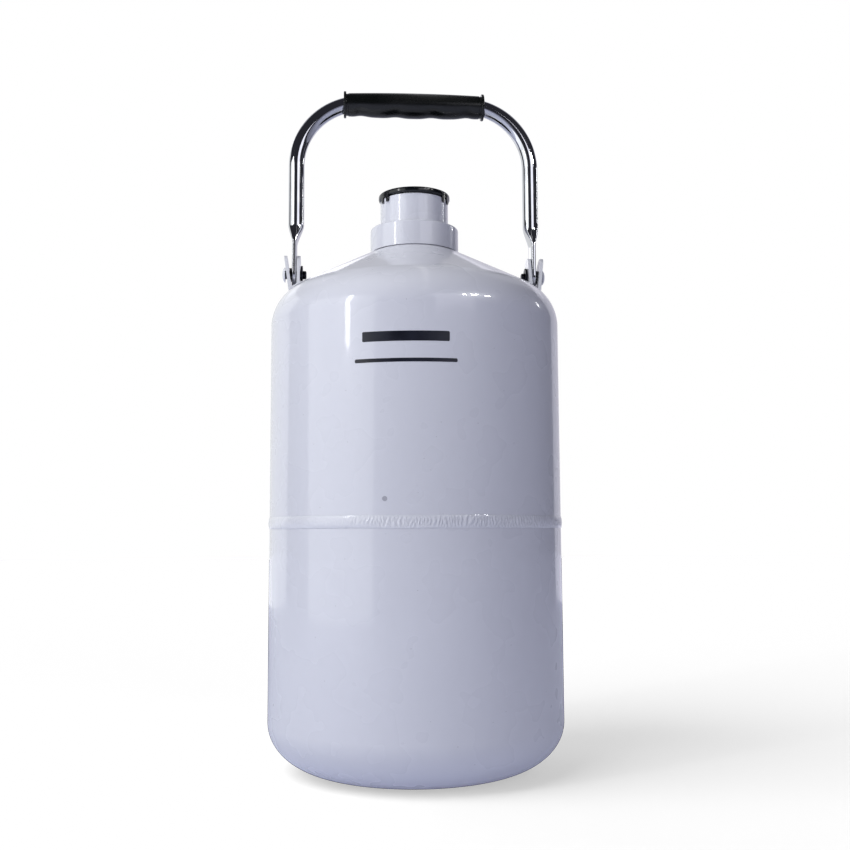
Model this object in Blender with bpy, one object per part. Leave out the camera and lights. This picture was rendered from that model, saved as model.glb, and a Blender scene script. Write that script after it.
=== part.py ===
"""Small liquid nitrogen storage dewar with a swinging carrying handle.

The dewar is a vacuum-insulated flask. An inner vessel hangs on a thin neck tube inside a two-piece
outer shell, wrapped in insulation. A collar, a sleeve and an index ring finish the neck, a foam
stopper closes it, and a bent tube handle swings on two brackets welded to the shoulder.

The frame is +Z up, with the origin under the middle of the base. Lengths are in metres.
The handle's pivot axis runs along X, and the front of the dewar faces -Y.
"""

from math import acos, atan2, cos, pi, radians, sin, sqrt, tan

import bmesh
import bpy
from mathutils import Matrix, Vector

MM = 0.001

# ---- Driving dimensions --------------------------------------------------------------------

GAP = 0.3 * MM                      # assembly gap between pieces that touch

# Outer shell: spun sheet, with a straight wall, a round shoulder and a shallow cone
SHELL_RADIUS = 102.5 * MM
SHELL_WALL = 1.5 * MM
WALL_TOP = 308.0 * MM               # where the straight wall turns into the shoulder
SHOULDER_RADIUS = 30.5 * MM
CONE_ANGLE = radians(27.2)          # fall of the cone below the horizontal
BASE_CORNER_WIDTH = 45.0 * MM
BASE_CORNER_HEIGHT = 34.0 * MM

# Girth weld that joins the two halves of the shell
SEAM_HEIGHT = 169.2 * MM
SEAM_ROOT = 4.0 * MM                # distance between the two sheet edges
BEAD_WIDTH = 8.0 * MM
BEAD_RISE = 1.0 * MM                # how far the bead stands proud of the wall

# Neck, from the bore outwards
BORE_RADIUS = 17.5 * MM
NECK_WALL = 1.2 * MM
SLEEVE_WALL = 5.6 * MM
SLEEVE_HEIGHT = 21.4 * MM
COLLAR_WALL = 12.9 * MM
COLLAR_HEIGHT = 17.6 * MM
NECK_EDGE = 1.0 * MM                # rounding of the collar's and the sleeve's top edges

# Index ring: the black mouth ring, with lugs that hang down outside the sleeve
RING_OVERHANG = 1.3 * MM            # how far the ring reaches out past the sleeve
RING_HEIGHT = 3.9 * MM
SEAT_WIDTH = 4.2 * MM               # ledge round the bore that the stopper's flange rests on
RING_FLOOR = 1.4 * MM               # height of that ledge above the ring's underside
LUG_COUNT = 3
LUG_ANGLE = radians(22)
LUG_DROP = 4.4 * MM
LUG_SLOT = 4.2 * MM
FIRST_LUG = radians(90)             # one lug is at the back, so two show at the front

# Stopper
CAP_FLANGE = 2.4 * MM
CAP_KNOB_RADIUS = 11.0 * MM
CAP_KNOB_RISE = 4.0 * MM
PLUG_CLEARANCE = 1.9 * MM           # the plug is loose in the bore, so that the gas can leave
PLUG_LENGTH = 74.0 * MM

# Inner vessel and what surrounds it
WRAP_SPACE = 11.0 * MM              # open vacuum space between the wrap and the shell
VESSEL_WALL = 1.2 * MM
VESSEL_BOTTOM = 40.0 * MM
VESSEL_HEIGHT = 156.0 * MM
VESSEL_DOME = 26.0 * MM
VESSEL_NECK_HEIGHT = 12.0 * MM
VESSEL_BEAD_WIDTH = 6.0 * MM
VESSEL_BEAD_RISE = 0.8 * MM
WRAP_THICKNESS = 20.0 * MM
WRAP_NECK_THICKNESS = 14.0 * MM
WRAP_NECK_SPACE = 22.0 * MM         # open space between the neck's wrap and the cone
ADSORBENT_RADIUS = 30.0 * MM
ADSORBENT_HEIGHT = 10.0 * MM

# Evacuation port, on the back of the cone
PORT_RADIUS = 6.0 * MM
PORT_BORE = 3.5 * MM
PORT_OFFSET = 58.0 * MM             # distance of the port from the dewar's axis
PORT_RISE = 9.0 * MM
PORT_DEPTH = 6.0 * MM               # how far the port reaches below the cone
PORT_CAP_WALL = 1.6 * MM
PORT_PLUG_LENGTH = 9.0 * MM

# Handle: a bent tube whose ends are pressed flat
TUBE_RADIUS = 5.65 * MM
LEG_INSET = 16.9 * MM               # from the shell's wall in to each leg's centreline
TAB_INSET = 15.9 * MM               # from the shell's wall in to the flat end's middle plane
BEND_RADIUS = 48.0 * MM
HANDLE_HEIGHT = 129.1 * MM          # from the pivot to the tube's highest centreline
TAB_THICKNESS = 3.5 * MM
TAB_HALF_WIDTH = 8.0 * MM
TAB_TOP = 22.0 * MM                 # height above the pivot where the flat end stops
TUBE_START = 37.0 * MM              # height above the pivot where the tube is round

# Grip: a moulded sleeve on the handle
GRIP_OVERRUN = 13.9 * MM            # how far the grip reaches onto each bend
GRIP_END_WALL = 2.6 * MM
GRIP_MIDDLE_WALL = 3.45 * MM
GRIP_FLANGE_WALL = 3.95 * MM
GRIP_FLANGE_WIDTH = 1.8 * MM
GRIP_GROOVE_WIDTH = 1.6 * MM
GRIP_GROOVE_DEPTH = 0.35 * MM
GRIP_DROP = 1.1 * MM                # grip's axis below the tube's highest centreline

# Brackets: folded sheet, an upright inner ear and an outer ear that leans out
SHEET = 2.2 * MM
FOOT_THICKNESS = 1.8 * MM
FOOT_CLEARANCE = 0.5 * MM           # least gap from the foot up to the washer and the handle
EAR_CLEARANCE = 0.35 * MM           # between the flat end of the handle and each ear
EAR_LEAN = radians(8)
EAR_TOP = 14.0 * MM                 # height of the ears above the pivot
EAR_TOP_RADIUS = 8.0 * MM
FOOT_HALF_WIDTH = 14.0 * MM
FOOT_REACH = 8.0 * MM               # how far the foot runs in past the inner ear

# Pivot pins: rivets with a washer under the closed end
PIN_RADIUS = 3.0 * MM
PIN_CLEARANCE = 0.3 * MM
PIN_HEAD_RIM = 2.5 * MM             # how far the head reaches out past the shank
PIN_HEAD_RISE = 2.2 * MM
PIN_TIP = 2.6 * MM
WASHER_RIM = 3.7 * MM
WASHER_THICKNESS = 1.4 * MM
BUSH_RIM = 2.0 * MM

# Number of flats on round pieces
LARGE_STEPS = 40
MEDIUM_STEPS = 28
SMALL_STEPS = 16
TUBE_SIDES = 12

# ---- Derived places ------------------------------------------------------------------------

SHOULDER_EDGE = SHELL_RADIUS - SHOULDER_RADIUS * (1 - sin(CONE_ANGLE))
SHOULDER_TOP = WALL_TOP + SHOULDER_RADIUS * cos(CONE_ANGLE)
NECK_RADIUS = BORE_RADIUS + NECK_WALL
NECK_HOLE = NECK_RADIUS + GAP
SLEEVE_RADIUS = NECK_HOLE + SLEEVE_WALL
COLLAR_RADIUS = NECK_HOLE + COLLAR_WALL
RING_RADIUS = SLEEVE_RADIUS + RING_OVERHANG
SEAT_RADIUS = BORE_RADIUS + SEAT_WIDTH
PLUG_RADIUS = BORE_RADIUS - PLUG_CLEARANCE
VESSEL_RADIUS = SHELL_RADIUS - SHELL_WALL - WRAP_SPACE - WRAP_THICKNESS
LEG_OFFSET = SHELL_RADIUS - LEG_INSET
TAB_OFFSET = SHELL_RADIUS - TAB_INSET


def cone_height(radius, offset=0.0):
    """Height of the cone's outer surface at a radius, or of a surface this far outside it."""
    return SHOULDER_TOP + (SHOULDER_EDGE - radius) * tan(CONE_ANGLE) + offset / cos(CONE_ANGLE)


COLLAR_BOTTOM = cone_height(COLLAR_RADIUS, GAP)
COLLAR_TOP = COLLAR_BOTTOM + COLLAR_HEIGHT
SLEEVE_BOTTOM = COLLAR_TOP + GAP
SLEEVE_TOP = SLEEVE_BOTTOM + SLEEVE_HEIGHT
RING_BOTTOM = SLEEVE_TOP + GAP
RING_TOP = RING_BOTTOM + RING_HEIGHT
SEAT_HEIGHT = RING_BOTTOM + RING_FLOOR
VESSEL_TOP = VESSEL_BOTTOM + VESSEL_HEIGHT
VESSEL_SEAM = VESSEL_BOTTOM + VESSEL_HEIGHT / 2
NECK_START = VESSEL_TOP - VESSEL_WALL
EAR_INNER = TAB_OFFSET - TAB_THICKNESS / 2 - EAR_CLEARANCE
EAR_OUTER = TAB_OFFSET + TAB_THICKNESS / 2 + EAR_CLEARANCE + TAB_HALF_WIDTH * tan(EAR_LEAN)
WASHER_INNER = EAR_INNER - SHEET - GAP - WASHER_THICKNESS
WASHER_RADIUS = PIN_RADIUS + WASHER_RIM
BUSH_RADIUS = PIN_RADIUS + BUSH_RIM
PIN_HEAD_RADIUS = PIN_RADIUS + PIN_HEAD_RIM
GRIP_LENGTH = 2 * (LEG_OFFSET - BEND_RADIUS + GRIP_OVERRUN)
GRIP_END_RADIUS = TUBE_RADIUS + GRIP_END_WALL
GRIP_MIDDLE_RADIUS = TUBE_RADIUS + GRIP_MIDDLE_WALL
GRIP_FLANGE_RADIUS = TUBE_RADIUS + GRIP_FLANGE_WALL


def foot_height(x):
    """Top of a bracket's foot, which follows the cone."""
    return cone_height(x, GAP + FOOT_THICKNESS)


# The pivot is as low as the washer and the handle's round end allow above the foot.
PIVOT_HEIGHT = FOOT_CLEARANCE + max(
    foot_height(WASHER_INNER) + WASHER_RADIUS,
    foot_height(EAR_INNER) + TAB_HALF_WIDTH,
)


# ---- Helpers -------------------------------------------------------------------------------


def clear_scene():
    for obj in list(bpy.data.objects):
        bpy.data.objects.remove(obj)


def make_material(name, colour, roughness, metallic=0.0):
    material = bpy.data.materials.new(name)
    material.use_nodes = True
    shader = material.node_tree.nodes["Principled BSDF"]
    shader.inputs["Base Color"].default_value = (*colour, 1.0)
    shader.inputs["Roughness"].default_value = roughness
    shader.inputs["Metallic"].default_value = metallic
    return material


def arc(centre, radii, start, end, segments):
    """Points of an elliptical arc in the XZ plane, both ends included."""
    angles = [start + (end - start) * i / segments for i in range(segments + 1)]
    return [(centre[0] + radii[0] * cos(a), centre[1] + radii[1] * sin(a)) for a in angles]


def mesh_object(name, bm, material=None, parent=None, location=(0, 0, 0)):
    """Turns a bmesh into a smooth shaded object, with its normals facing out."""
    bmesh.ops.remove_doubles(bm, verts=bm.verts, dist=1e-7)
    bmesh.ops.recalc_face_normals(bm, faces=bm.faces)
    mesh = bpy.data.meshes.new(name)
    bm.to_mesh(mesh)
    bm.free()
    mesh.shade_smooth()
    mesh.set_sharp_from_angle(angle=radians(35))
    obj = bpy.data.objects.new(name, mesh)
    bpy.context.scene.collection.objects.link(obj)
    if material:
        mesh.materials.append(material)
    obj.parent = parent
    obj.location = location
    return obj


def turned(name, profile, steps, material=None, parent=None, location=(0, 0, 0)):
    """Turns a closed profile of (radius, height) points about the object's Z axis."""
    bm = bmesh.new()
    verts = [bm.verts.new((radius, 0, height)) for radius, height in profile]
    edges = [bm.edges.new((a, b)) for a, b in zip(verts, verts[1:] + verts[:1])]
    bmesh.ops.spin(
        bm,
        geom=verts + edges,
        cent=(0, 0, 0),
        axis=(0, 0, 1),
        angle=2 * pi,
        steps=steps,
        use_merge=True,
    )
    bmesh.ops.dissolve_degenerate(bm, edges=bm.edges, dist=1e-7)
    return mesh_object(name, bm, material, parent, location)


def extruded(name, outline, direction, material=None):
    """Extrudes a flat closed outline of 3-D points."""
    bm = bmesh.new()
    face = bm.faces.new([bm.verts.new(point) for point in outline])
    swept = bmesh.ops.extrude_face_region(bm, geom=[face])
    moved = [item for item in swept["geom"] if isinstance(item, bmesh.types.BMVert)]
    bmesh.ops.translate(bm, verts=moved, vec=direction)
    return mesh_object(name, bm, material)


def skinned(name, rings, material=None, parent=None):
    """Joins a row of equal rings of points into a closed tube with flat ends."""
    bm = bmesh.new()
    loops = [[bm.verts.new(point) for point in ring] for ring in rings]
    for lower, upper in zip(loops, loops[1:]):
        for i in range(len(lower)):
            j = (i + 1) % len(lower)
            bm.faces.new((lower[i], lower[j], upper[j], upper[i]))
    bm.faces.new(loops[0])
    bm.faces.new(loops[-1])
    return mesh_object(name, bm, material, parent)


def as_tool(obj):
    """Marks an object as a helper for Booleans, which isn't a piece of the dewar."""
    obj.hide_render = True
    obj.display_type = "WIRE"
    return obj


def boolean(obj, tool, operation):
    modifier = obj.modifiers.new(operation.title(), "BOOLEAN")
    modifier.operation = operation
    modifier.solver = "EXACT"
    modifier.object = tool


def ring_profile(inner, outer, bottom, top, edge):
    """Section of a plain ring whose outer top edge is rounded."""
    crown = arc((outer - edge, top - edge), (edge, edge), 0, pi / 2, 3)
    return [(inner, top), (inner, bottom), (outer, bottom), *crown]


# ---- Outer shell ---------------------------------------------------------------------------


def shoulder_curve(offset, end_radius):
    """Wall top, shoulder and cone, this far outside the shell's outer surface."""
    radius = SHOULDER_RADIUS + offset
    centre = (SHELL_RADIUS - SHOULDER_RADIUS, WALL_TOP)
    curve = arc(centre, (radius, radius), 0, pi / 2 - CONE_ANGLE, 6)
    return [*curve, (end_radius, cone_height(end_radius, offset))]


def base_curve(offset):
    """Corner and bottom of the base, from the wall to the axis, this far outside its surface."""
    centre = (SHELL_RADIUS - BASE_CORNER_WIDTH, BASE_CORNER_HEIGHT)
    radii = (BASE_CORNER_WIDTH + offset, BASE_CORNER_HEIGHT + offset)
    return [*arc(centre, radii, 0, -pi / 2, 7), (0, -offset)]


def make_outer_shell(paint):
    seam_top = SEAM_HEIGHT + SEAM_ROOT / 2
    seam_bottom = SEAM_HEIGHT - SEAM_ROOT / 2
    inside = SHELL_RADIUS - SHELL_WALL

    outer = shoulder_curve(0, NECK_HOLE)
    inner = shoulder_curve(-SHELL_WALL, NECK_HOLE)
    profile = [(SHELL_RADIUS, seam_top), *outer, *reversed(inner), (inside, seam_top)]
    upper = turned("outer_shell_upper", profile, LARGE_STEPS, paint)

    outer = base_curve(0)
    inner = base_curve(-SHELL_WALL)
    profile = [(SHELL_RADIUS, seam_bottom), *outer, *reversed(inner), (inside, seam_bottom)]
    turned("outer_shell_lower", profile, LARGE_STEPS, paint)

    turned("girth_weld", bead_profile(SHELL_RADIUS, SHELL_WALL, SEAM_HEIGHT, BEAD_WIDTH,
                                      BEAD_RISE, 4), LARGE_STEPS, paint)
    return upper


def bead_profile(radius, wall, height, width, rise, segments):
    """Weld bead: a root between the two sheet edges, and a low crown over both of them."""
    root = SEAM_ROOT / 2 - GAP
    step = radius + GAP
    crown = arc((step, height), (rise - GAP, width / 2), -pi / 2, pi / 2, segments)
    return [
        (radius - wall, height - root),
        (step, height - root),
        *crown,
        (step, height + root),
        (radius - wall, height + root),
    ]


# ---- Neck ----------------------------------------------------------------------------------


def make_neck(paint, glass_fibre, plastic):
    collar = ring_profile(NECK_HOLE, COLLAR_RADIUS, COLLAR_BOTTOM, COLLAR_TOP, NECK_EDGE)
    collar[1] = (NECK_HOLE, cone_height(NECK_HOLE, GAP))
    turned("neck_collar", collar, MEDIUM_STEPS, paint)
    sleeve = ring_profile(NECK_HOLE, SLEEVE_RADIUS, SLEEVE_BOTTOM, SLEEVE_TOP, NECK_EDGE)
    turned("neck_sleeve", sleeve, MEDIUM_STEPS, paint)

    tube = [
        (BORE_RADIUS, NECK_START),
        (NECK_RADIUS, NECK_START),
        (NECK_RADIUS, SLEEVE_TOP),
        (BORE_RADIUS, SLEEVE_TOP),
    ]
    turned("neck_tube", tube, MEDIUM_STEPS, glass_fibre)
    make_index_ring(plastic)


def make_index_ring(plastic):
    edge = RING_HEIGHT / 3
    outside = [
        *arc((RING_RADIUS - edge, RING_BOTTOM + edge), (edge, edge), -pi / 2, 0, 2),
        *arc((RING_RADIUS - edge, RING_TOP - edge), (edge, edge), 0, pi / 2, 2),
    ]
    profile = [
        (BORE_RADIUS, RING_BOTTOM),
        *outside,
        (SEAT_RADIUS, RING_TOP),
        (SEAT_RADIUS, SEAT_HEIGHT),
        (BORE_RADIUS, SEAT_HEIGHT),
    ]
    ring = turned("index_ring", profile, MEDIUM_STEPS, plastic)

    lug_outer = RING_RADIUS - GAP / 2
    lug_inner = SLEEVE_RADIUS + GAP
    lug_top = RING_BOTTOM + RING_HEIGHT / 2
    for i in range(LUG_COUNT):
        angle = FIRST_LUG + 2 * pi * i / LUG_COUNT
        lug = ring_segment(f"lug_{i}", lug_inner, lug_outer, RING_BOTTOM - LUG_DROP, lug_top, angle)
        boolean(ring, lug, "UNION")
        boolean(ring, lug_slot(f"lug_slot_{i}", angle), "DIFFERENCE")


def ring_segment(name, inner, outer, bottom, top, angle):
    """A short stretch of a ring, centred on an angle about the Z axis."""
    bm = bmesh.new()
    corners = [(inner, bottom), (outer, bottom), (outer, top), (inner, top)]
    face = bm.faces.new([bm.verts.new((radius, 0, height)) for radius, height in corners])
    bmesh.ops.rotate(bm, verts=bm.verts, matrix=Matrix.Rotation(angle - LUG_ANGLE / 2, 3, "Z"))
    axis = (0, 0, 1)
    bmesh.ops.spin(bm, geom=[face], cent=(0, 0, 0), axis=axis, angle=LUG_ANGLE, steps=3)
    return as_tool(mesh_object(name, bm))


def lug_slot(name, angle):
    """Cutter for one lug's slot: straight sides, and a round top under the ring's flange."""
    half = LUG_SLOT / 2
    low = RING_BOTTOM - LUG_DROP - GAP
    round_top = arc((0, RING_BOTTOM - half), (half, half), 0, pi, 6)
    outline = [(half, low), *round_top, (-half, low)]
    bm_outline = [(SLEEVE_RADIUS - half, y, z) for y, z in outline]
    cutter = extruded(name, bm_outline, (2 * half, 0, 0))
    cutter.rotation_euler.z = angle
    return as_tool(cutter)


# ---- Stopper -------------------------------------------------------------------------------


def make_stopper(plastic, foam):
    seat = bpy.data.objects.new("stopper_seat", None)
    bpy.context.scene.collection.objects.link(seat)
    seat.location.z = SEAT_HEIGHT

    flange_radius = SEAT_RADIUS - GAP
    flange_top = GAP + CAP_FLANGE
    knob_top = flange_top + CAP_KNOB_RISE
    edge = CAP_FLANGE / 3
    knob = arc((CAP_KNOB_RADIUS - CAP_KNOB_RISE, flange_top),
               (CAP_KNOB_RISE, CAP_KNOB_RISE), 0, pi / 2, 4)
    profile = [
        (0, GAP),
        (flange_radius, GAP),
        *arc((flange_radius - edge, flange_top - edge), (edge, edge), 0, pi / 2, 2),
        *knob,
        (0, knob_top),
    ]
    turned("stopper_cap", profile, MEDIUM_STEPS, plastic, seat)

    edge = 2 * NECK_EDGE
    profile = [
        (0, -PLUG_LENGTH),
        *arc((PLUG_RADIUS - edge, edge - PLUG_LENGTH), (edge, edge), -pi / 2, 0, 3),
        (PLUG_RADIUS, 0),
        (0, 0),
    ]
    turned("stopper_plug", profile, MEDIUM_STEPS, foam, seat)


# ---- Inner vessel and insulation -----------------------------------------------------------


def vessel_dome(offset, upwards, end_radius):
    """One domed end, this far outside the vessel, from its wall to a radius near the axis."""
    radii = (VESSEL_RADIUS + offset, VESSEL_DOME + offset)
    end = acos(end_radius / radii[0])
    if upwards:
        return arc((0, VESSEL_TOP - VESSEL_DOME), radii, 0, end, 6)
    return arc((0, VESSEL_BOTTOM + VESSEL_DOME), radii, 0, -end, 6)


def make_inner_vessel(aluminium):
    seam_top = VESSEL_SEAM + SEAM_ROOT / 2
    seam_bottom = VESSEL_SEAM - SEAM_ROOT / 2
    inside = VESSEL_RADIUS - VESSEL_WALL
    neck_top = VESSEL_TOP + VESSEL_NECK_HEIGHT

    profile = [
        (VESSEL_RADIUS, seam_top),
        *vessel_dome(0, True, NECK_HOLE + VESSEL_WALL),
        (NECK_HOLE + VESSEL_WALL, neck_top),
        (NECK_HOLE, neck_top),
        *reversed(vessel_dome(-VESSEL_WALL, True, NECK_HOLE)),
        (inside, seam_top),
    ]
    turned("inner_vessel_upper", profile, MEDIUM_STEPS, aluminium)

    profile = [
        (VESSEL_RADIUS, seam_bottom),
        *vessel_dome(0, False, 0),
        *reversed(vessel_dome(-VESSEL_WALL, False, 0)),
        (inside, seam_bottom),
    ]
    turned("inner_vessel_lower", profile, MEDIUM_STEPS, aluminium)
    turned("inner_vessel_weld", bead_profile(VESSEL_RADIUS, VESSEL_WALL, VESSEL_SEAM,
                                             VESSEL_BEAD_WIDTH, VESSEL_BEAD_RISE, 3),
           MEDIUM_STEPS, aluminium)


def make_insulation(foil, mesh_metal):
    clearance = VESSEL_BEAD_RISE + GAP
    pocket_radius = ADSORBENT_RADIUS + GAP
    pocket_floor = VESSEL_BOTTOM - 2 * GAP - ADSORBENT_HEIGHT
    neck_inner = NECK_HOLE + VESSEL_WALL + GAP
    neck_outer = neck_inner + WRAP_NECK_THICKNESS
    neck_top = cone_height(neck_inner, -SHELL_WALL) - WRAP_NECK_SPACE
    pocket_top = vessel_dome(clearance, False, pocket_radius)[-1]
    profile = [
        *reversed(vessel_dome(WRAP_THICKNESS, True, neck_outer)),
        *vessel_dome(WRAP_THICKNESS, False, 0),
        (0, pocket_floor),
        (pocket_radius, pocket_floor),
        pocket_top,
        *reversed(vessel_dome(clearance, False, pocket_radius)[:-1]),
        *vessel_dome(clearance, True, neck_inner),
        (neck_inner, neck_top),
        (neck_outer, neck_top - WRAP_NECK_THICKNESS * tan(CONE_ANGLE)),
    ]
    turned("insulation_wrap", profile, MEDIUM_STEPS, foil)

    edge = 2 * NECK_EDGE
    bottom = pocket_floor + GAP
    top = bottom + ADSORBENT_HEIGHT
    profile = [
        (0, bottom),
        *arc((ADSORBENT_RADIUS - edge, bottom + edge), (edge, edge), -pi / 2, 0, 2),
        *arc((ADSORBENT_RADIUS - edge, top - edge), (edge, edge), 0, pi / 2, 2),
        (0, top),
    ]
    turned("adsorbent_pack", profile, SMALL_STEPS, mesh_metal)


# ---- Evacuation port -----------------------------------------------------------------------


def make_port(shell, aluminium, rubber, plastic):
    """A short tube through the back of the cone, its plug, and the cap that protects both."""
    place = Matrix.Translation((0, PORT_OFFSET, cone_height(PORT_OFFSET)))
    place @= Matrix.Rotation(-CONE_ANGLE, 4, "X")

    tube = [
        (PORT_BORE, -PORT_DEPTH),
        (PORT_RADIUS, -PORT_DEPTH),
        (PORT_RADIUS, PORT_RISE),
        (PORT_BORE, PORT_RISE),
    ]
    turned("vacuum_port", tube, SMALL_STEPS, aluminium).matrix_world = place

    hole_radius = PORT_RADIUS + GAP
    hole = [(0, -PORT_DEPTH), (hole_radius, -PORT_DEPTH), (hole_radius, PORT_RISE), (0, PORT_RISE)]
    cutter = as_tool(turned("port_hole", hole, SMALL_STEPS))
    cutter.matrix_world = place
    boolean(shell, cutter, "DIFFERENCE")

    plug_radius = PORT_BORE - GAP
    plug_bottom = PORT_RISE - PORT_PLUG_LENGTH
    plug = [
        (0, plug_bottom), (plug_radius, plug_bottom), (plug_radius, PORT_RISE), (0, PORT_RISE)
    ]
    turned("vacuum_plug", plug, SMALL_STEPS, rubber).matrix_world = place

    inner = PORT_RADIUS + GAP
    outer = inner + PORT_CAP_WALL
    ceiling = PORT_RISE + GAP
    top = ceiling + PORT_CAP_WALL
    bottom = outer * outer * 0.5 / PORT_OFFSET * cos(CONE_ANGLE) + GAP
    cap = [
        (inner, bottom),
        (outer, bottom),
        *arc((outer - NECK_EDGE, top - NECK_EDGE), (NECK_EDGE, NECK_EDGE), 0, pi / 2, 3),
        (0, top),
        (0, ceiling),
        (inner, ceiling),
    ]
    turned("vacuum_port_cap", cap, SMALL_STEPS, plastic).matrix_world = place


# ---- Handle --------------------------------------------------------------------------------


def handle_stations():
    """Centre, tilt, half thickness, half width and squareness along the handle's right half.

    Heights are above the pivot. The tilt turns the section from level to upright.
    """
    half = TAB_THICKNESS / 2
    stations = []
    for angle in (80, 60, 40, 20):
        height = -TAB_HALF_WIDTH * sin(radians(angle))
        width = sqrt(TAB_HALF_WIDTH**2 - height**2)
        stations.append(((TAB_OFFSET, height), 0, half, width, 4))
    stations.append(((TAB_OFFSET, 0), 0, half, TAB_HALF_WIDTH, 4))

    blend_steps = 5
    for i in range(blend_steps + 1):
        t = i / blend_steps
        ease = t * t * (3 - 2 * t)
        offset = TAB_OFFSET + (LEG_OFFSET - TAB_OFFSET) * ease
        height = TAB_TOP + (TUBE_START - TAB_TOP) * t
        thick = half + (TUBE_RADIUS - half) * ease
        wide = TAB_HALF_WIDTH + (TUBE_RADIUS - TAB_HALF_WIDTH) * ease
        stations.append(((offset, height), 0, thick, wide, 4 - 2 * ease))

    bend_start = HANDLE_HEIGHT - BEND_RADIUS
    bend_steps = 10
    for i in range(bend_steps + 1):
        tilt = pi / 2 * i / bend_steps
        centre = (
            LEG_OFFSET - BEND_RADIUS * (1 - cos(tilt)),
            bend_start + BEND_RADIUS * sin(tilt),
        )
        stations.append((centre, tilt, TUBE_RADIUS, TUBE_RADIUS, 2))
    return stations


def section(centre, tilt, thick, wide, power, side, extra=0.0):
    """One ring of points: an ellipse when power is 2, and squarer as power grows."""
    points = []
    for i in range(TUBE_SIDES):
        angle = 2 * pi * (i + 0.5) / TUBE_SIDES
        across = (thick + extra) * squared(cos(angle), power)
        along = (wide + extra) * squared(sin(angle), power)
        x = centre[0] + across * cos(tilt)
        z = centre[1] + across * sin(tilt)
        points.append(Vector((side * x, along, z)))
    return points


def squared(value, power):
    size = abs(value) ** (2 / power)
    return size if value >= 0 else -size


def handle_rings(extra=0.0):
    """Rings from the left end, over the top, to the right end."""
    stations = handle_stations()
    right = [section(*station, 1, extra) for station in stations]
    left = [section(*station, -1, extra) for station in stations]
    return left + right[::-1]


def make_handle(chrome, vinyl):
    pivot = bpy.data.objects.new("handle_pivot", None)
    bpy.context.scene.collection.objects.link(pivot)
    pivot.location.z = PIVOT_HEIGHT

    tube = skinned("handle_tube", handle_rings(), chrome, pivot)
    reach = 2 * TAB_OFFSET + 4 * TAB_THICKNESS
    hole_radius = PIN_RADIUS + PIN_CLEARANCE
    hole = [(0, -reach / 2), (hole_radius, -reach / 2), (hole_radius, reach / 2), (0, reach / 2)]
    cutter = as_tool(turned("handle_pin_hole", hole, SMALL_STEPS, parent=pivot))
    cutter.rotation_euler.y = pi / 2
    boolean(tube, cutter, "DIFFERENCE")

    grip = turned("handle_grip", grip_profile(), SMALL_STEPS, vinyl, pivot)
    grip.rotation_euler.y = pi / 2
    grip.location.z = HANDLE_HEIGHT - GRIP_DROP
    bore = as_tool(skinned("grip_bore", handle_rings(GAP), parent=pivot))
    boolean(grip, bore, "DIFFERENCE")


def grip_profile():
    """Half section of the grip about its own length: flanged ends and a slight barrel."""
    half = GRIP_LENGTH / 2
    groove_end = half - GRIP_FLANGE_WIDTH - GRIP_GROOVE_WIDTH
    side = [
        (GRIP_FLANGE_RADIUS, half),
        (GRIP_FLANGE_RADIUS, half - GRIP_FLANGE_WIDTH),
        (GRIP_END_RADIUS - GRIP_GROOVE_DEPTH, half - GRIP_FLANGE_WIDTH),
        (GRIP_END_RADIUS - GRIP_GROOVE_DEPTH, groove_end),
        (GRIP_END_RADIUS, groove_end),
    ]
    barrel_steps = 8
    barrel = []
    for i in range(1, barrel_steps):
        t = 1 - 2 * i / barrel_steps
        radius = GRIP_MIDDLE_RADIUS - (GRIP_MIDDLE_RADIUS - GRIP_END_RADIUS) * t * t
        barrel.append((radius, groove_end * t))
    mirrored = [(radius, -length) for radius, length in reversed(side)]
    return [(0, half), *side, *barrel, *mirrored, (0, -half)]


# ---- Brackets and pivots -------------------------------------------------------------------


def bracket_section():
    """Folded sheet seen from the front: foot, upright inner ear and leaning outer ear."""
    top = PIVOT_HEIGHT + EAR_TOP
    low = WALL_TOP
    lean = tan(EAR_LEAN)
    sheet_across = SHEET / cos(EAR_LEAN)
    foot_inner = EAR_INNER - SHEET - FOOT_REACH

    def ear_face(z):
        return EAR_OUTER + (z - PIVOT_HEIGHT) * lean

    outer_corner = ear_face(foot_height(EAR_OUTER))
    return [
        (foot_inner, low),
        (foot_inner, foot_height(foot_inner)),
        (EAR_INNER - SHEET, foot_height(EAR_INNER - SHEET)),
        (EAR_INNER - SHEET, top),
        (EAR_INNER, top),
        (EAR_INNER, foot_height(EAR_INNER)),
        (outer_corner, foot_height(outer_corner)),
        (ear_face(top), top),
        (ear_face(top) + sheet_across, top),
        (ear_face(low) + sheet_across, low),
    ]


def ear_outline():
    """Ears seen from the side: a round top on straight edges that spread to the foot."""
    centre = PIVOT_HEIGHT + EAR_TOP - EAR_TOP_RADIUS
    foot = foot_height(EAR_OUTER)
    spread = FOOT_HALF_WIDTH - EAR_TOP_RADIUS
    tangent = atan2(spread, centre - foot)
    return [
        (-FOOT_HALF_WIDTH, WALL_TOP),
        (-FOOT_HALF_WIDTH, foot),
        *arc((0, centre), (-EAR_TOP_RADIUS, EAR_TOP_RADIUS), tangent, pi - tangent, 8),
        (FOOT_HALF_WIDTH, foot),
        (FOOT_HALF_WIDTH, WALL_TOP),
    ]


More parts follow.
